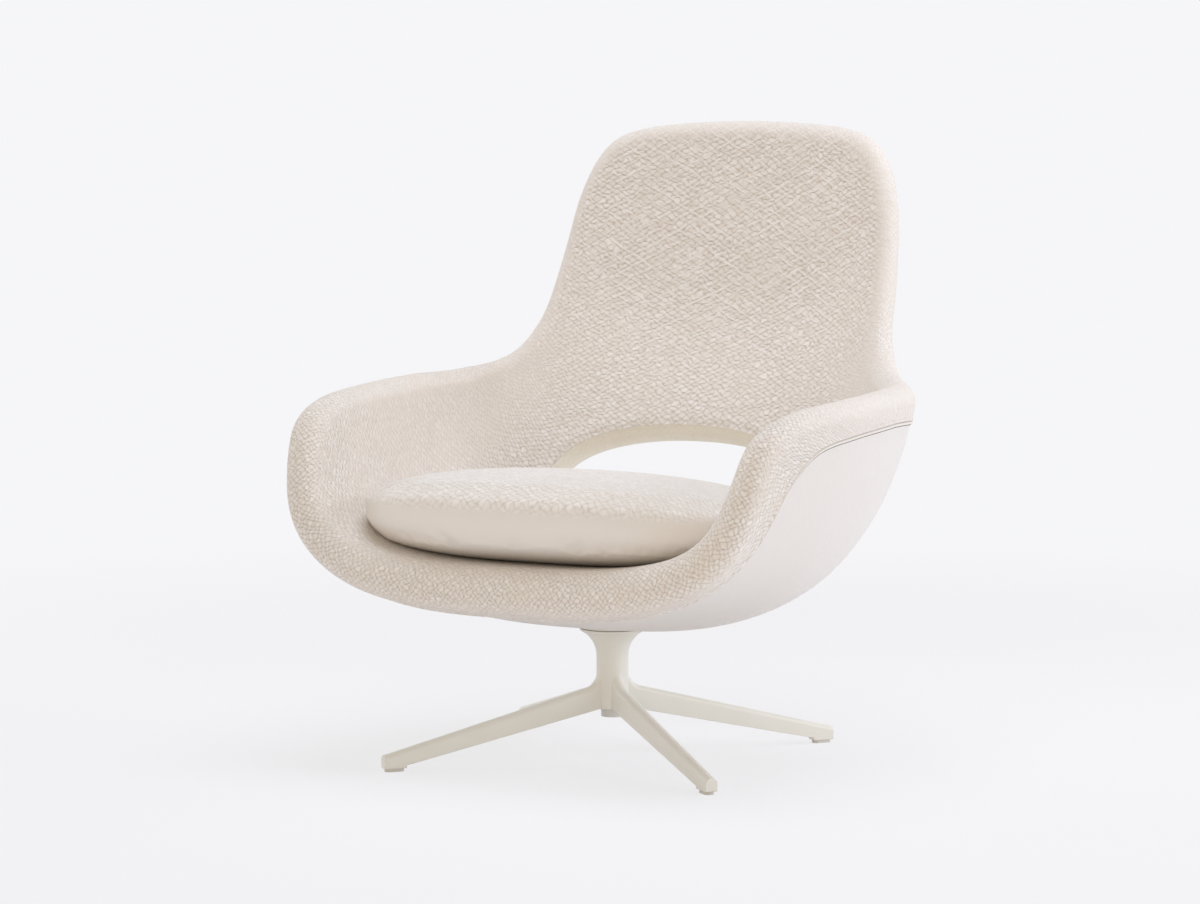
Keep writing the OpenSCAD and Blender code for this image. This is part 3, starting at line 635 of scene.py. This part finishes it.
def basket(tree, x, y, uneven):
    """Bands that cross over and under: each diamond shows its upper band, puffed between creases."""
    column, row = [add(tree, MATH, (v,), operation="FLOOR").outputs[0] for v in (x, y)]
    both = add(tree, MATH, (column, row), operation="ADD").outputs[0]
    over = add(tree, MATH, (both, 1.0), operation="PINGPONG").outputs[0]
    humps, crests = [], []
    for v in (x, y):
        part = add(tree, MATH, (v,), operation="FRACT").outputs[0]
        off = add(tree, MATH, (part, 0.5), operation="SUBTRACT").outputs[0]
        square = add(tree, MATH, (off, off), operation="MULTIPLY").outputs[0]
        fourth = add(tree, MATH, (square, square), operation="MULTIPLY").outputs[0]
        humps.append(add(tree, MATH, (square, -4.0, 1.0), operation="MULTIPLY_ADD").outputs[0])
        crests.append(add(tree, MATH, (fourth, -16.0, 1.0), operation="MULTIPLY_ADD").outputs[0])
    bands = []
    for crest, hump in zip(crests, humps[::-1]):
        rest = add(tree, MATH, (hump, HUMP_SHARE), operation="MULTIPLY").outputs[0]
        bands.append(add(tree, MATH, (crest, CREST_SHARE, rest), operation="MULTIPLY_ADD").outputs[0])
    woven = add(tree, "ShaderNodeMix", {"Factor": over, "A": bands[0], "B": bands[1]}, data_type="FLOAT")
    cell = add(tree, "ShaderNodeCombineXYZ", (column, row)).outputs["Vector"]
    slack = add(tree, "ShaderNodeTexWhiteNoise", {"Vector": cell}, noise_dimensions="2D").outputs["Value"]
    level = add(tree, MATH, (slack, -uneven, 1.0), operation="MULTIPLY_ADD").outputs[0]
    return add(tree, MATH, (woven.outputs["Result"], level), operation="MULTIPLY").outputs[0]


def shift(tree, along, size, detail, push):
    """A noise of the given size, centred on zero and scaled to a shift in metres."""
    noise = add(tree, "ShaderNodeTexNoise", {"Vector": along}, Scale=1 / size, Detail=detail)
    centred = add(tree, "ShaderNodeVectorMath", (noise.outputs["Color"], (0.5, 0.5, 0.5)),
                  operation="SUBTRACT").outputs[0]
    return add(tree, "ShaderNodeVectorMath", {0: centred, "Scale": push}, operation="SCALE").outputs[0]


# %% The woven cover
def woven_cover(name, light, shade, warm, depth=0.0016):
    """Matelasse fabric in hex colours: painted light on its crests, painted shade in its creases and a warmer
    random tone; depth is the height of a full pucker in metres.
    """
    material, tree = new_material(name)
    cloth, strand = [add(tree, "ShaderNodeUVMap", uv_map=key).outputs["UV"] for key in ("cloth", "strand")]
    rim, lined, full = [add(tree, "ShaderNodeAttribute", attribute_name=key).outputs["Fac"]
                        for key in ("rim_share", "line_share", "pucker_share")]
    # The weave is never quite straight, and a finer wobble crinkles its creases.
    drift = shift(tree, cloth, DRIFT, 4.0, DRIFT_PUSH)
    bent = add(tree, "ShaderNodeVectorMath", (cloth, drift), operation="ADD").outputs[0]
    wobble = shift(tree, cloth, WOBBLE, 1.0, WOBBLE_PUSH)
    crinkled = add(tree, "ShaderNodeVectorMath", (bent, wobble), operation="ADD").outputs[0]
    pucker = basket(tree, *diagonals(tree, crinkled, PUCKER_W, PUCKER_H), PUCKER_UNEVEN)
    # Long threads cross the puckers on the back and lift the cloth in fine raised lines.
    lines = []
    for across in diagonals(tree, bent, LINE_W, LINE_H):
        wave = add(tree, MATH, (across, 0.5), operation="PINGPONG").outputs[0]
        ridge = add(tree, MATH, (wave, -LINE_SHARP, 1.0), operation="MULTIPLY_ADD").outputs[0]
        lines.append(add(tree, MATH, (ridge, 0.0), operation="MAXIMUM").outputs[0])
    crossing = add(tree, MATH, tuple(lines), operation="MAXIMUM").outputs[0]
    slack = add(tree, "ShaderNodeTexNoise", {"Vector": cloth}, Scale=1 / SLACK, Detail=1.0)
    shown = add(tree, "ShaderNodeMapRange", {"Value": slack.outputs["Fac"]},
                From_Min=SLACK_LOW, From_Max=SLACK_HIGH)
    lattice = add(tree, MATH, (crossing, shown.outputs["Result"]), operation="MULTIPLY").outputs[0]
    lattice = add(tree, MATH, (lattice, lined), operation="MULTIPLY").outputs[0]
    lattice = add(tree, MATH, (lattice, LINE_COVER), operation="MULTIPLY").outputs[0]
    # On the rim the puckers are drawn out into short strands that run across it.
    comb = add(tree, "ShaderNodeVectorMath", (strand, wobble), operation="ADD").outputs[0]
    strands = basket(tree, *diagonals(tree, comb, STRAND_GAP, STRAND_LEN), STRAND_UNEVEN)
    mixed = add(tree, "ShaderNodeMix", {"Factor": rim, "A": pucker, "B": strands}, data_type="FLOAT")
    ridged = add(tree, "ShaderNodeMix", {"Factor": lattice, "A": mixed.outputs["Result"]},
                 data_type="FLOAT", B=LINE_TOP).outputs["Result"]
    swing = add(tree, MATH, (ridged, MEAN_PUCKER), operation="SUBTRACT").outputs[0]
    folds = add(tree, MATH, (swing, full, MEAN_PUCKER), operation="MULTIPLY_ADD").outputs[0]
    yarn = add(tree, "ShaderNodeTexNoise", {"Vector": cloth}, Scale=1 / YARN, Detail=1.0)
    height = add(tree, MATH, (yarn.outputs["Fac"], YARN_SHARE, folds), operation="MULTIPLY_ADD").outputs[0]
    bump = add(tree, "ShaderNodeBump", {"Height": height}, Strength=1.0, Distance=depth)
    # Colour: painted light and shade that follow the relief. The raised cloth is painted lightest, and the
    # valleys between the puckers warmer and darker, as painted shade.
    tone = add(tree, "ShaderNodeMapRange", {"Value": height}, From_Min=TONE_LOW, From_Max=TONE_HIGH)
    base = add(tree, "ShaderNodeMix", {"Factor": tone.outputs["Result"], "A": srgb(shade), "B": srgb(light)},
               data_type="RGBA")
    cloud = add(tree, "ShaderNodeTexNoise", {"Vector": cloth}, Scale=1 / CLOUD, Detail=2.0)
    patch = add(tree, "ShaderNodeMapRange", {"Value": cloud.outputs["Fac"]},
                From_Min=CLOUD_LOW, From_Max=CLOUD_HIGH, To_Max=CLOUD_SHARE)
    tinted = add(tree, "ShaderNodeMix", {"Factor": patch.outputs["Result"], "A": base.outputs["Result"],
                                         "B": srgb(warm)}, data_type="RGBA")
    # Spun yarn scatters light evenly: rough, hardly specular, with a faint sheen from its fibres.
    finish_material(tree, tinted.outputs["Result"], 0.92, bump.outputs["Normal"], Sheen_Weight=0.15,
                    Sheen_Roughness=0.5, Specular_IOR_Level=0.2)
    return material


# Each cover's colours are its painted crest light, its painted crease shade and its warmer random tone.
shell_cloth = woven_cover("woven_matelasse_cover", "#F8F4F0", "#D4C7B8", "#EEE6DB")
panel_cloth = woven_cover("woven_matelasse_panel", "#EFECE9", "#E0DAD3", "#E8E3DD", depth=0.0006)
# The facing's paler, yellower colours are painted light: the warm light reflected inside the opening.
facing_cloth = woven_cover("woven_matelasse_facing", "#F9F5EA", "#E8DFCC", "#F1EADB", depth=0.0007)
cushion_cloth = woven_cover("woven_matelasse_cushion", "#FAF8F6", "#DFD7CC", "#F2EDE6", depth=0.0010)
for piece, fabric in (
        (inner_cover, shell_cloth), (opening_lining, facing_cloth), (outer_panel, panel_cloth)):
    piece.data.materials.append(fabric)
    print(piece.name, "wears", fabric.name)


# %% [markdown]
# ## Filling the seams
# The welts' sleeve is plain woven cotton and the topstitch is polyester thread: both are even and
# matt beside the puckered cover. With their finishes made, the two trees run along the seams.

# %% Welt sleeve and thread
THREAD_GRAIN = 0.0015


def twisted_thread(name, colour):
    """Plain sewn yarn: even and matt, with a fine grain. The grain is coarser than real thread's."""
    material, tree = new_material(name)
    place_on = add(tree, "ShaderNodeTexCoord").outputs["Object"]
    grain = add(tree, "ShaderNodeTexNoise", {"Vector": place_on}, Scale=1 / THREAD_GRAIN, Detail=2.0)
    bump = add(tree, "ShaderNodeBump", {"Height": grain.outputs["Fac"]}, Strength=0.6, Distance=0.0004)
    tone = add(tree, "ShaderNodeMix", {"Factor": grain.outputs["Fac"], "A": srgb(colour),
                                       "B": srgb("#F1EBE2")}, data_type="RGBA")
    finish_material(tree, tone.outputs["Result"], 0.85, bump.outputs["Normal"], Sheen_Weight=0.2,
                    Sheen_Roughness=0.5, Specular_IOR_Level=0.25)
    return material


welt_cloth = twisted_thread("welt_sleeve_cotton", "#E6DED4")
thread = twisted_thread("polyester_topstitch", "#E3DACE")

# %% Welts and stitches in place
welt_tree = path_tree("welt along a seam", stitched=False)
stitch_tree = path_tree("stitches along a seam", stitched=True)
WELT_PROUD, STITCH_PROUD, STITCH_INSET = 0.0015, 0.0001, 0.0085
welt_height = -(HALF + WELT_PROUD - WELT_R)
rim_path = seam_path("rim_path", rim_seam_r, welt_height)
rim_piping = along_path("rim_piping", rim_path, welt_tree, welt_cloth)
eye_path = seam_path("eye_path", eye_seam_r, welt_height)
opening_piping = along_path("opening_piping", eye_path, welt_tree, welt_cloth)


def beside_rim_seam(angle):
    """Where the stitches run, as r at an angle."""
    return rim_seam_r(angle) + STITCH_INSET / gain(angle, rim_seam_r(angle))


stitch_path = seam_path("stitch_path", beside_rim_seam, -HALF - STITCH_PROUD)
rim_stitches = along_path("rim_stitches", stitch_path, stitch_tree, thread, Radius=STITCH_R)

# %% [markdown]
# ## The loose cushion
# A pebble-shaped cushion lies in the seat. Its plan is a squarish oval, its crown is shallow and
# its belly deeper. Modelling its edge by hand looks stiff, so cloth under a little pressure fills
# it: a form slightly wider and flatter than the pebble is remeshed and blown up for 20 frames.
# What the cloth does is kept to 9 mm and inside the pebble, the ends sag, and where the cushion
# would sink into the seat it is pressed flat on the cover.

# %% Cushion form
CUSHION_W, CUSHION_D, CROWN, BELLY, TILT = 0.636, 0.494, 0.058, 0.084, math.radians(5.5)
PLAN_SQUARE, CROWN_SQUARE, BELLY_SQUARE = 3, 2.1, 2.9
FORM_SHARES = np.array([1.02, 1.02, 0.90])
CUSHION_FORWARD = 0.098
FORM_AROUND, FORM_RINGS = 96, 22
cushion_at = np.zeros(3)


def to_world(p):
    """From the cushion's own tilted axes to the chair's."""
    c, s = math.cos(TILT), math.sin(TILT)
    return np.stack([p[:, 0], p[:, 1] * c + p[:, 2] * s, -p[:, 1] * s + p[:, 2] * c], 1) + cushion_at


def to_local(p):
    """The way back from to_world."""
    c, s = math.cos(TILT), math.sin(TILT)
    d = p - cushion_at
    return np.stack([d[:, 0], d[:, 1] * c - d[:, 2] * s, d[:, 1] * s + d[:, 2] * c], 1)


def outline(p):
    """0 at the cushion's middle and 1 at its edge."""
    across, deep = np.abs(p[:, 0]) * 2 / CUSHION_W, np.abs(p[:, 1]) * 2 / CUSHION_D
    return (across ** PLAN_SQUARE + deep ** PLAN_SQUARE) ** (1 / PLAN_SQUARE)


def bulge(u, amp, square):
    """Height of the crown or belly, from amp at the middle to nothing at the edge."""
    return amp * np.clip(1 - np.clip(u, 0, 1) ** square, 0, 1) ** (1 / square)


ring_a = np.linspace(0, 2 * np.pi, FORM_AROUND, endpoint=False)
ring_u = np.sin(np.linspace(0, np.pi / 2, FORM_RINGS)[1:])
edge_r = 1 / outline(np.stack([np.cos(ring_a), np.sin(ring_a)], 1))
form = []
for sign, amp, square, order in ((1, CROWN, CROWN_SQUARE, ring_u), (-1, BELLY, BELLY_SQUARE, ring_u[-2::-1])):
    for u in order:
        high_at = np.full(FORM_AROUND, sign * float(bulge(np.array([u]), amp, square)[0]))
        form.append(np.stack([np.cos(ring_a) * edge_r * u, np.sin(ring_a) * edge_r * u, high_at], 1))
form = np.stack(form)
crown_top = to_world(form.reshape(-1, 3))[:, 2].max()
cushion_top = float(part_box("seat_cushion")[1][2])
cushion_at = np.array([0, AXIS_Y - CUSHION_FORWARD, cushion_top - crown_top])
print("cushion stands at", cushion_at.round(4), "with its top at", round(cushion_top, 4))

# %% Cushion mesh
rings, count = form.shape[:2]
faces = [(i * count + j, (i + 1) * count + j, (i + 1) * count + (j + 1) % count, i * count + (j + 1) % count)
         for i in range(rings - 1) for j in range(count)]
top, bottom = rings * count, rings * count + 1
faces += [(top, j, (j + 1) % count) for j in range(count)]
faces += [(bottom, (rings - 1) * count + (j + 1) % count, (rings - 1) * count + j) for j in range(count)]
points = np.concatenate([form.reshape(-1, 3), [[0, 0, CROWN], [0, 0, -BELLY]]]) * FORM_SHARES
mesh = bpy.data.meshes.new("loose_cushion")
mesh.from_pydata(to_world(points).tolist(), [], faces)
bm = bmesh.new()
bm.from_mesh(mesh)
bmesh.ops.recalc_face_normals(bm, faces=bm.faces)
bm.to_mesh(mesh)
bm.free()
cushion = bpy.data.objects.new("loose_cushion", mesh)
scene.collection.objects.link(cushion)
print("cushion form:", len(mesh.polygons), "faces")


# %% Cushion cloth
def apply_modifiers(obj):
    """Replaces an object's mesh by its evaluated one and drops the modifiers."""
    graph = bpy.context.evaluated_depsgraph_get()
    mesh = bpy.data.meshes.new_from_object(obj.evaluated_get(graph))
    obj.modifiers.clear()
    obj.data = mesh


def points_of(mesh):
    """A mesh's points as an array."""
    co = np.empty(len(mesh.vertices) * 3, np.float32)
    mesh.vertices.foreach_get("co", co)
    return co.reshape(-1, 3).astype(float)


VOXEL, FRAMES, CAP = 0.0055, 20, 0.009
remesh = cushion.modifiers.new("remesh", "REMESH")
remesh.mode, remesh.voxel_size = "VOXEL", VOXEL
bpy.context.view_layer.update()
apply_modifiers(cushion)
before = points_of(cushion.data)
cloth = cushion.modifiers.new("cloth", "CLOTH")
cloth.settings.use_pressure = True
cloth.settings.uniform_pressure_force = 4.0
cloth.settings.effector_weights.gravity = 0.0
cloth.settings.quality = 6
cloth.settings.mass = 0.3
scene.frame_start, scene.frame_end = 1, FRAMES
for number in range(1, FRAMES + 1):
    scene.frame_set(number)
apply_modifiers(cushion)
scene.frame_set(1)
move = points_of(cushion.data) - before
size = np.linalg.norm(move, axis=1)
move *= np.minimum(1, CAP / np.maximum(size, 1e-9))[:, None]
print("cloth moved the cushion by", round(float(size.max()) * 1000, 1), "mm at most, kept to", CAP * 1000)

# %% Cushion inside its pebble, with its ends let down
CROWN_PUFF, SAG = 0.002, 0.008
local = to_local(before + move)
u = outline(local)
local[:, :2] *= np.minimum(1, 1 / np.maximum(u, 1e-9))[:, None]
u = np.minimum(u, 1)
local[:, 2] = np.clip(local[:, 2], -bulge(u, BELLY, BELLY_SQUARE), bulge(u, CROWN, CROWN_SQUARE) + CROWN_PUFF)
local[:, 2] -= SAG * (np.abs(local[:, 0]) * 2 / CUSHION_W) ** 3
world = to_world(local)

# %% Cushion pressed on the cover that carries it
PRESS_GAP, PRESS_DEEPEST = 0.0008, 0.020
cover_faces = [tuple(face.vertices) for face in inner_cover.data.polygons]
seat_surface = BVHTree.FromPolygons(points_of(inner_cover.data).tolist(), cover_faces)
pressed = []
for i, p in enumerate(world):
    hit, n = [np.array(v) for v in seat_surface.find_nearest(p)[:2]]
    depth = PRESS_GAP - float(np.dot(p - hit, n))
    if 0 < depth < PRESS_DEEPEST:
        world[i] = hit + n * PRESS_GAP
        pressed.append(depth)
print("cushion rests on the cover at", len(pressed), "points")
print("pressed in by", round(max(pressed, default=0) * 1000, 1), "mm at most")
cushion.data.vertices.foreach_set("co", world.astype(np.float32).ravel())
cushion.data.update()
subdivision = cushion.modifiers.new("subdivision", "SUBSURF")
subdivision.levels = subdivision.render_levels = 1
bpy.context.view_layer.update()
apply_modifiers(cushion)
cushion.data.shade_smooth()
print("cushion:", len(cushion.data.polygons), "faces")

# %% [markdown]
# The cushion's cloth coordinates are its plan, drawn out down the sides so that the weave keeps
# its spacing where the surface turns steep. An unwrap would set a seam where the cushion has none.

# %% Cushion cloth coordinates
CROWN_STRETCH, SIDE_STRETCH, BELLY_STRETCH, BELLY_FROM = 0.55, 0.10, 0.35, -0.03
local = to_local(points_of(cushion.data))
u = outline(local)
angle = np.arctan2(local[:, 1], local[:, 0])
reach = np.hypot(local[:, 0], local[:, 1])
under = local[:, 2] < BELLY_FROM
over_edge = np.clip(-local[:, 2] / BELLY, 0, 1) * SIDE_STRETCH
over_edge += BELLY_STRETCH * (1 - reach / np.maximum(reach.max(), 1e-9)) * under
run = reach + CROWN * CROWN_STRETCH * np.clip(u, 0, 1) ** 4 + over_edge
lay = np.stack([np.cos(angle) * run, np.sin(angle) * run], 1)
corner = np.empty(len(cushion.data.loops), np.int32)
cushion.data.loops.foreach_get("vertex_index", corner)
for map_name in ("cloth", "strand"):
    layer = cushion.data.uv_layers.new(name=map_name)
    layer.data.foreach_set("uv", lay[corner].reshape(-1).astype(np.float32))
# The belly's cloth is stretched smooth.
pucker_share = fade(local[:, 2], -0.012, 0.002)
share = cushion.data.attributes.new("pucker_share", "FLOAT", "POINT")
share.data.foreach_set("value", pucker_share.astype(np.float32))
cushion.data.materials.clear()
cushion.data.materials.append(cushion_cloth)

# %% [markdown]
# ## Hard parts
# The pedestal is one aluminium casting with a cream powder coat: satin, with a very fine ripple,
# and edges softened by the thickness of the coat. The small parts are nylon, bronze, steel and
# brass. They keep their CAD meshes; only their material slots are filled, because a remade part
# could miss the frame. One function serves all ten finishes, as they differ only in numbers.

# %% Finishes of the hard parts
GLOSS_SPREAD, TONE_SIZE = 0.04, 0.05


def coated(name, colour, other, roughness, ripple, distance, edge=0.0, metallic=0.0):
    """A hard finish: two close tones mixed by noise, a fine ripple, and softened edges."""
    material, tree = new_material(name)
    where = add(tree, "ShaderNodeTexCoord").outputs["Object"]
    slow = add(tree, "ShaderNodeTexNoise", {"Vector": where}, Scale=1 / TONE_SIZE, Detail=2.0).outputs["Fac"]
    tone = add(tree, "ShaderNodeMix", {"Factor": slow, "A": srgb(colour), "B": srgb(other)}, data_type="RGBA")
    grain = add(tree, "ShaderNodeTexNoise", {"Vector": where}, Scale=1 / ripple, Detail=1.0)
    bump = add(tree, "ShaderNodeBump", {"Height": grain.outputs["Fac"]}, Strength=0.4, Distance=distance)
    if edge:
        soft_edge = add(tree, "ShaderNodeBevel", samples=6, Radius=edge)
        tree.links.new(soft_edge.outputs["Normal"], bump.inputs["Normal"])
    gloss = add(tree, "ShaderNodeMapRange", {"Value": slow},
                To_Min=roughness - GLOSS_SPREAD, To_Max=roughness + GLOSS_SPREAD)
    finish_material(tree, tone.outputs["Result"], gloss.outputs["Result"], bump.outputs["Normal"],
                    Metallic=metallic)
    return material


# Powder coat: thick and satin, its ripple some 1.6 mm long, so every edge shines softly.
powder_coat = coated("powder_coated_aluminium", "#ECEAE0", "#EFEEE6", 0.42, 0.0016, 0.00005, 0.002)
# Moulded plastics: even and waxy, the cap glossier than the pads, the hidden shell dark and matt.
cap = coated("moulded_polypropylene_cap", "#D5D4D0", "#DAD9D5", 0.5, 0.001, 0.00003, 0.0012)
pad = coated("moulded_nylon_glide", "#D6D3CA", "#DCD9D0", 0.55, 0.001, 0.00003, 0.0008)
core = coated("moulded_polyamide_shell", "#2B2D30", "#333539", 0.55, 0.0012, 0.00005)
# Turned nylon: warmer, with the sheen of a cut surface.
bush = coated("turned_nylon_bush", "#DAD6C8", "#E0DCCE", 0.45, 0.0008, 0.00002)
# Metals: the ground spindle is the brightest, blackened screws the dullest.
bronze = coated("sintered_bronze", "#8F6B3D", "#A57F4C", 0.4, 0.0006, 0.00002, metallic=1.0)
steel = coated("ground_steel", "#9EA0A3", "#AEB0B2", 0.25, 0.0006, 0.00001, metallic=1.0)
zinc = coated("zinc_plated_steel", "#A4A6A8", "#B2B4B5", 0.35, 0.001, 0.00002, metallic=1.0)
black = coated("blackened_steel", "#34363A", "#3E4044", 0.4, 0.001, 0.00002, metallic=1.0)
brass = coated("turned_brass", "#A8864A", "#B8955A", 0.3, 0.0008, 0.00002, metallic=1.0)

FINISHES = {
    powder_coat: ("pedestal_base", "mounting_plate"),
    cap: ("bottom_cap",),
    pad: ("glide_front_right", "glide_back_right", "glide_back_left", "glide_front_left"),
    bush: ("upper_bush", "lower_bush"),
    bronze: ("thrust_washer",),
    steel: ("swivel_spindle",),
    zinc: ("lower_washer",),
    black: ("plate_bolts", "retaining_ring"),
    brass: ("shell_inserts",),
    core: ("seat_shell",),
}
for finish, names in FINISHES.items():
    for name in names:
        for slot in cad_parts[name].material_slots:
            slot.material = finish
print(len(FINISHES), "finishes on", sum(map(len, FINISHES.values())), "hard parts")

# %% [markdown]
# ## Joining the pieces to the frame
# Every new piece rides on the CAD body that carries it and hides the solid that it stands for.
# The table also lists each piece's material slot in the record.

# %% Ride and replace
for piece, body, node, slot in (
        (inner_cover, "seat", "inner_upholstery", "shell_fabric"),
        (opening_lining, "seat", "opening_facing", "facing_fabric"),
        (outer_panel, "seat", "outer_upholstery", "panel_fabric"),
        (rim_piping, "seat", "rim_welt", "welt_fabric"),
        (opening_piping, "seat", "opening_welt", "welt_fabric"),
        (rim_stitches, "seat", "rim_welt", "welt_fabric"),
        (cushion, "cushion", "seat_cushion", "cushion_fabric")):
    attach(piece, body)
    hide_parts(node)
print("the covers, seams and cushion ride on the seat and cushion bodies")

# %% [markdown]
# ## Floor, light and camera
# A pale studio. The floor fades into an even white backdrop, which only rays that show the studio
# can see. Four large soft lamps light the chair: the strongest two from the right and above, a
# weaker one from the left and a warm one from the front. A weak, warm world fills the shadows.

# %% Floor
FLOOR_COLOUR, BACKDROP = "#F4F4F6", "#F6F6F8"
FLOOR_R, FLOOR_SIDES, PAPER_SHARE = 6, 64, 0.74
FADE_FROM, FADE_TO = 1.0, 3.2


def seen_rays(tree):
    """1 for the rays that show the studio itself, 0 for those that light the chair."""
    rays = add(tree, "ShaderNodeLightPath").outputs
    seen = add(tree, MATH, (rays["Is Camera Ray"], rays["Is Glossy Ray"]), operation="MAXIMUM").outputs[0]
    return add(tree, MATH, (seen, rays["Is Transmission Ray"]), operation="MAXIMUM").outputs[0]


def studio_floor():
    mesh = bpy.data.meshes.new("studio_floor")
    turns = [2 * math.pi * i / FLOOR_SIDES for i in range(FLOOR_SIDES)]
    ring = [(FLOOR_R * math.cos(a), FLOOR_R * math.sin(a), 0) for a in turns]
    mesh.from_pydata(ring, [], [list(range(FLOOR_SIDES))])
    obj = bpy.data.objects.new("studio_floor", mesh)
    scene.collection.objects.link(obj)
    material, tree = new_material("matt_white_floor")
    where = add(tree, "ShaderNodeTexCoord").outputs["Object"]
    distance = add(tree, "ShaderNodeVectorMath", {0: where}, operation="LENGTH").outputs["Value"]
    ending = add(tree, "ShaderNodeMapRange", {"Value": distance}, From_Min=FADE_FROM, From_Max=FADE_TO,
                 interpolation_type="SMOOTHSTEP")
    matt = add(tree, "ShaderNodeBsdfDiffuse", Color=srgb(FLOOR_COLOUR))
    paper = add(tree, "ShaderNodeEmission", Color=srgb(BACKDROP), Strength=1.0)
    lift = add(tree, MATH, (seen_rays(tree), PAPER_SHARE), operation="MULTIPLY").outputs[0]
    ground = add(tree, "ShaderNodeMixShader", (lift, matt.outputs[0], paper.outputs[0]))
    clear = add(tree, "ShaderNodeBsdfTransparent")
    mix = add(tree, "ShaderNodeMixShader", (ending.outputs["Result"], ground.outputs[0], clear.outputs[0]))
    add(tree, "ShaderNodeOutputMaterial", {"Surface": mix.outputs[0]})
    obj.data.materials.append(material)
    return obj


floor = studio_floor()


# %% Light
def soft_lamp(name, place_at, target, size, watts, colour="#E9F0FF"):
    """A round area lamp turned towards a point."""
    lamp = bpy.data.lights.new(name, "AREA")
    lamp.shape, lamp.size, lamp.energy, lamp.color = "DISK", size, watts, srgb(colour)[:3]
    obj = bpy.data.objects.new(name, lamp)
    scene.collection.objects.link(obj)
    obj.location = place_at
    back = np.array(place_at, float) - np.array(target, float)
    tip = math.atan2(math.hypot(back[0], back[1]), back[2])
    obj.rotation_euler = (tip, 0, math.atan2(back[0], -back[1]))
    print("lamp", name, "of", watts, "W and", size, "m")


soft_lamp("right", (3.1, 1.2, 1.1), (0, 0, 0.5), 2.6, 58)
soft_lamp("above", (0.4, 0.1, 3.6), (0, 0, 0.5), 2.8, 58)
soft_lamp("left", (-3.2, -0.4, 1.6), (0, 0, 0.5), 2.4, 28)
soft_lamp("front", (0.8, -3.6, 0.2), (0, 0, 0.4), 2.8, 29, "#FFEFDB")
scene.world = bpy.data.worlds.new("white_studio")
scene.world.use_nodes = True
tree = scene.world.node_tree
tree.nodes.clear()
lighting = add(tree, "ShaderNodeBackground", Color=srgb("#FFF4E5"), Strength=0.45)
backdrop = add(tree, "ShaderNodeBackground", Color=srgb(BACKDROP), Strength=1.0)
mix = add(tree, "ShaderNodeMixShader", (seen_rays(tree), lighting.outputs[0], backdrop.outputs[0]))
add(tree, "ShaderNodeOutputWorld", {"Surface": mix.outputs[0]})

# %% Camera
# Its place and lens were fitted to the photograph: 28 degrees round from the front, 5 above level.
AZIMUTH, ELEVATION, DISTANCE = math.radians(28), math.radians(5), 6.0
AIM_ASIDE, AIM_HEIGHT, LENS = -0.01909, 0.46897, 118.024
sin_az, cos_az, level_share = math.sin(AZIMUTH), math.cos(AZIMUTH), math.cos(ELEVATION)
target = np.array([AIM_ASIDE * cos_az, AIM_ASIDE * sin_az + AXIS_Y, AIM_HEIGHT])
towards = np.array([sin_az * level_share, -cos_az * level_share, math.sin(ELEVATION)])
lens = bpy.data.cameras.new("camera")
lens.lens, lens.sensor_width, lens.sensor_fit = LENS, 36, "HORIZONTAL"
camera = bpy.data.objects.new("camera", lens)
scene.collection.objects.link(camera)
camera.location = target + towards * DISTANCE
camera.rotation_euler = (math.pi / 2 - ELEVATION, 0, AZIMUTH)
scene.camera = camera
scene.view_settings.view_transform = "Standard"
print("camera at", [round(v, 3) for v in camera.location])
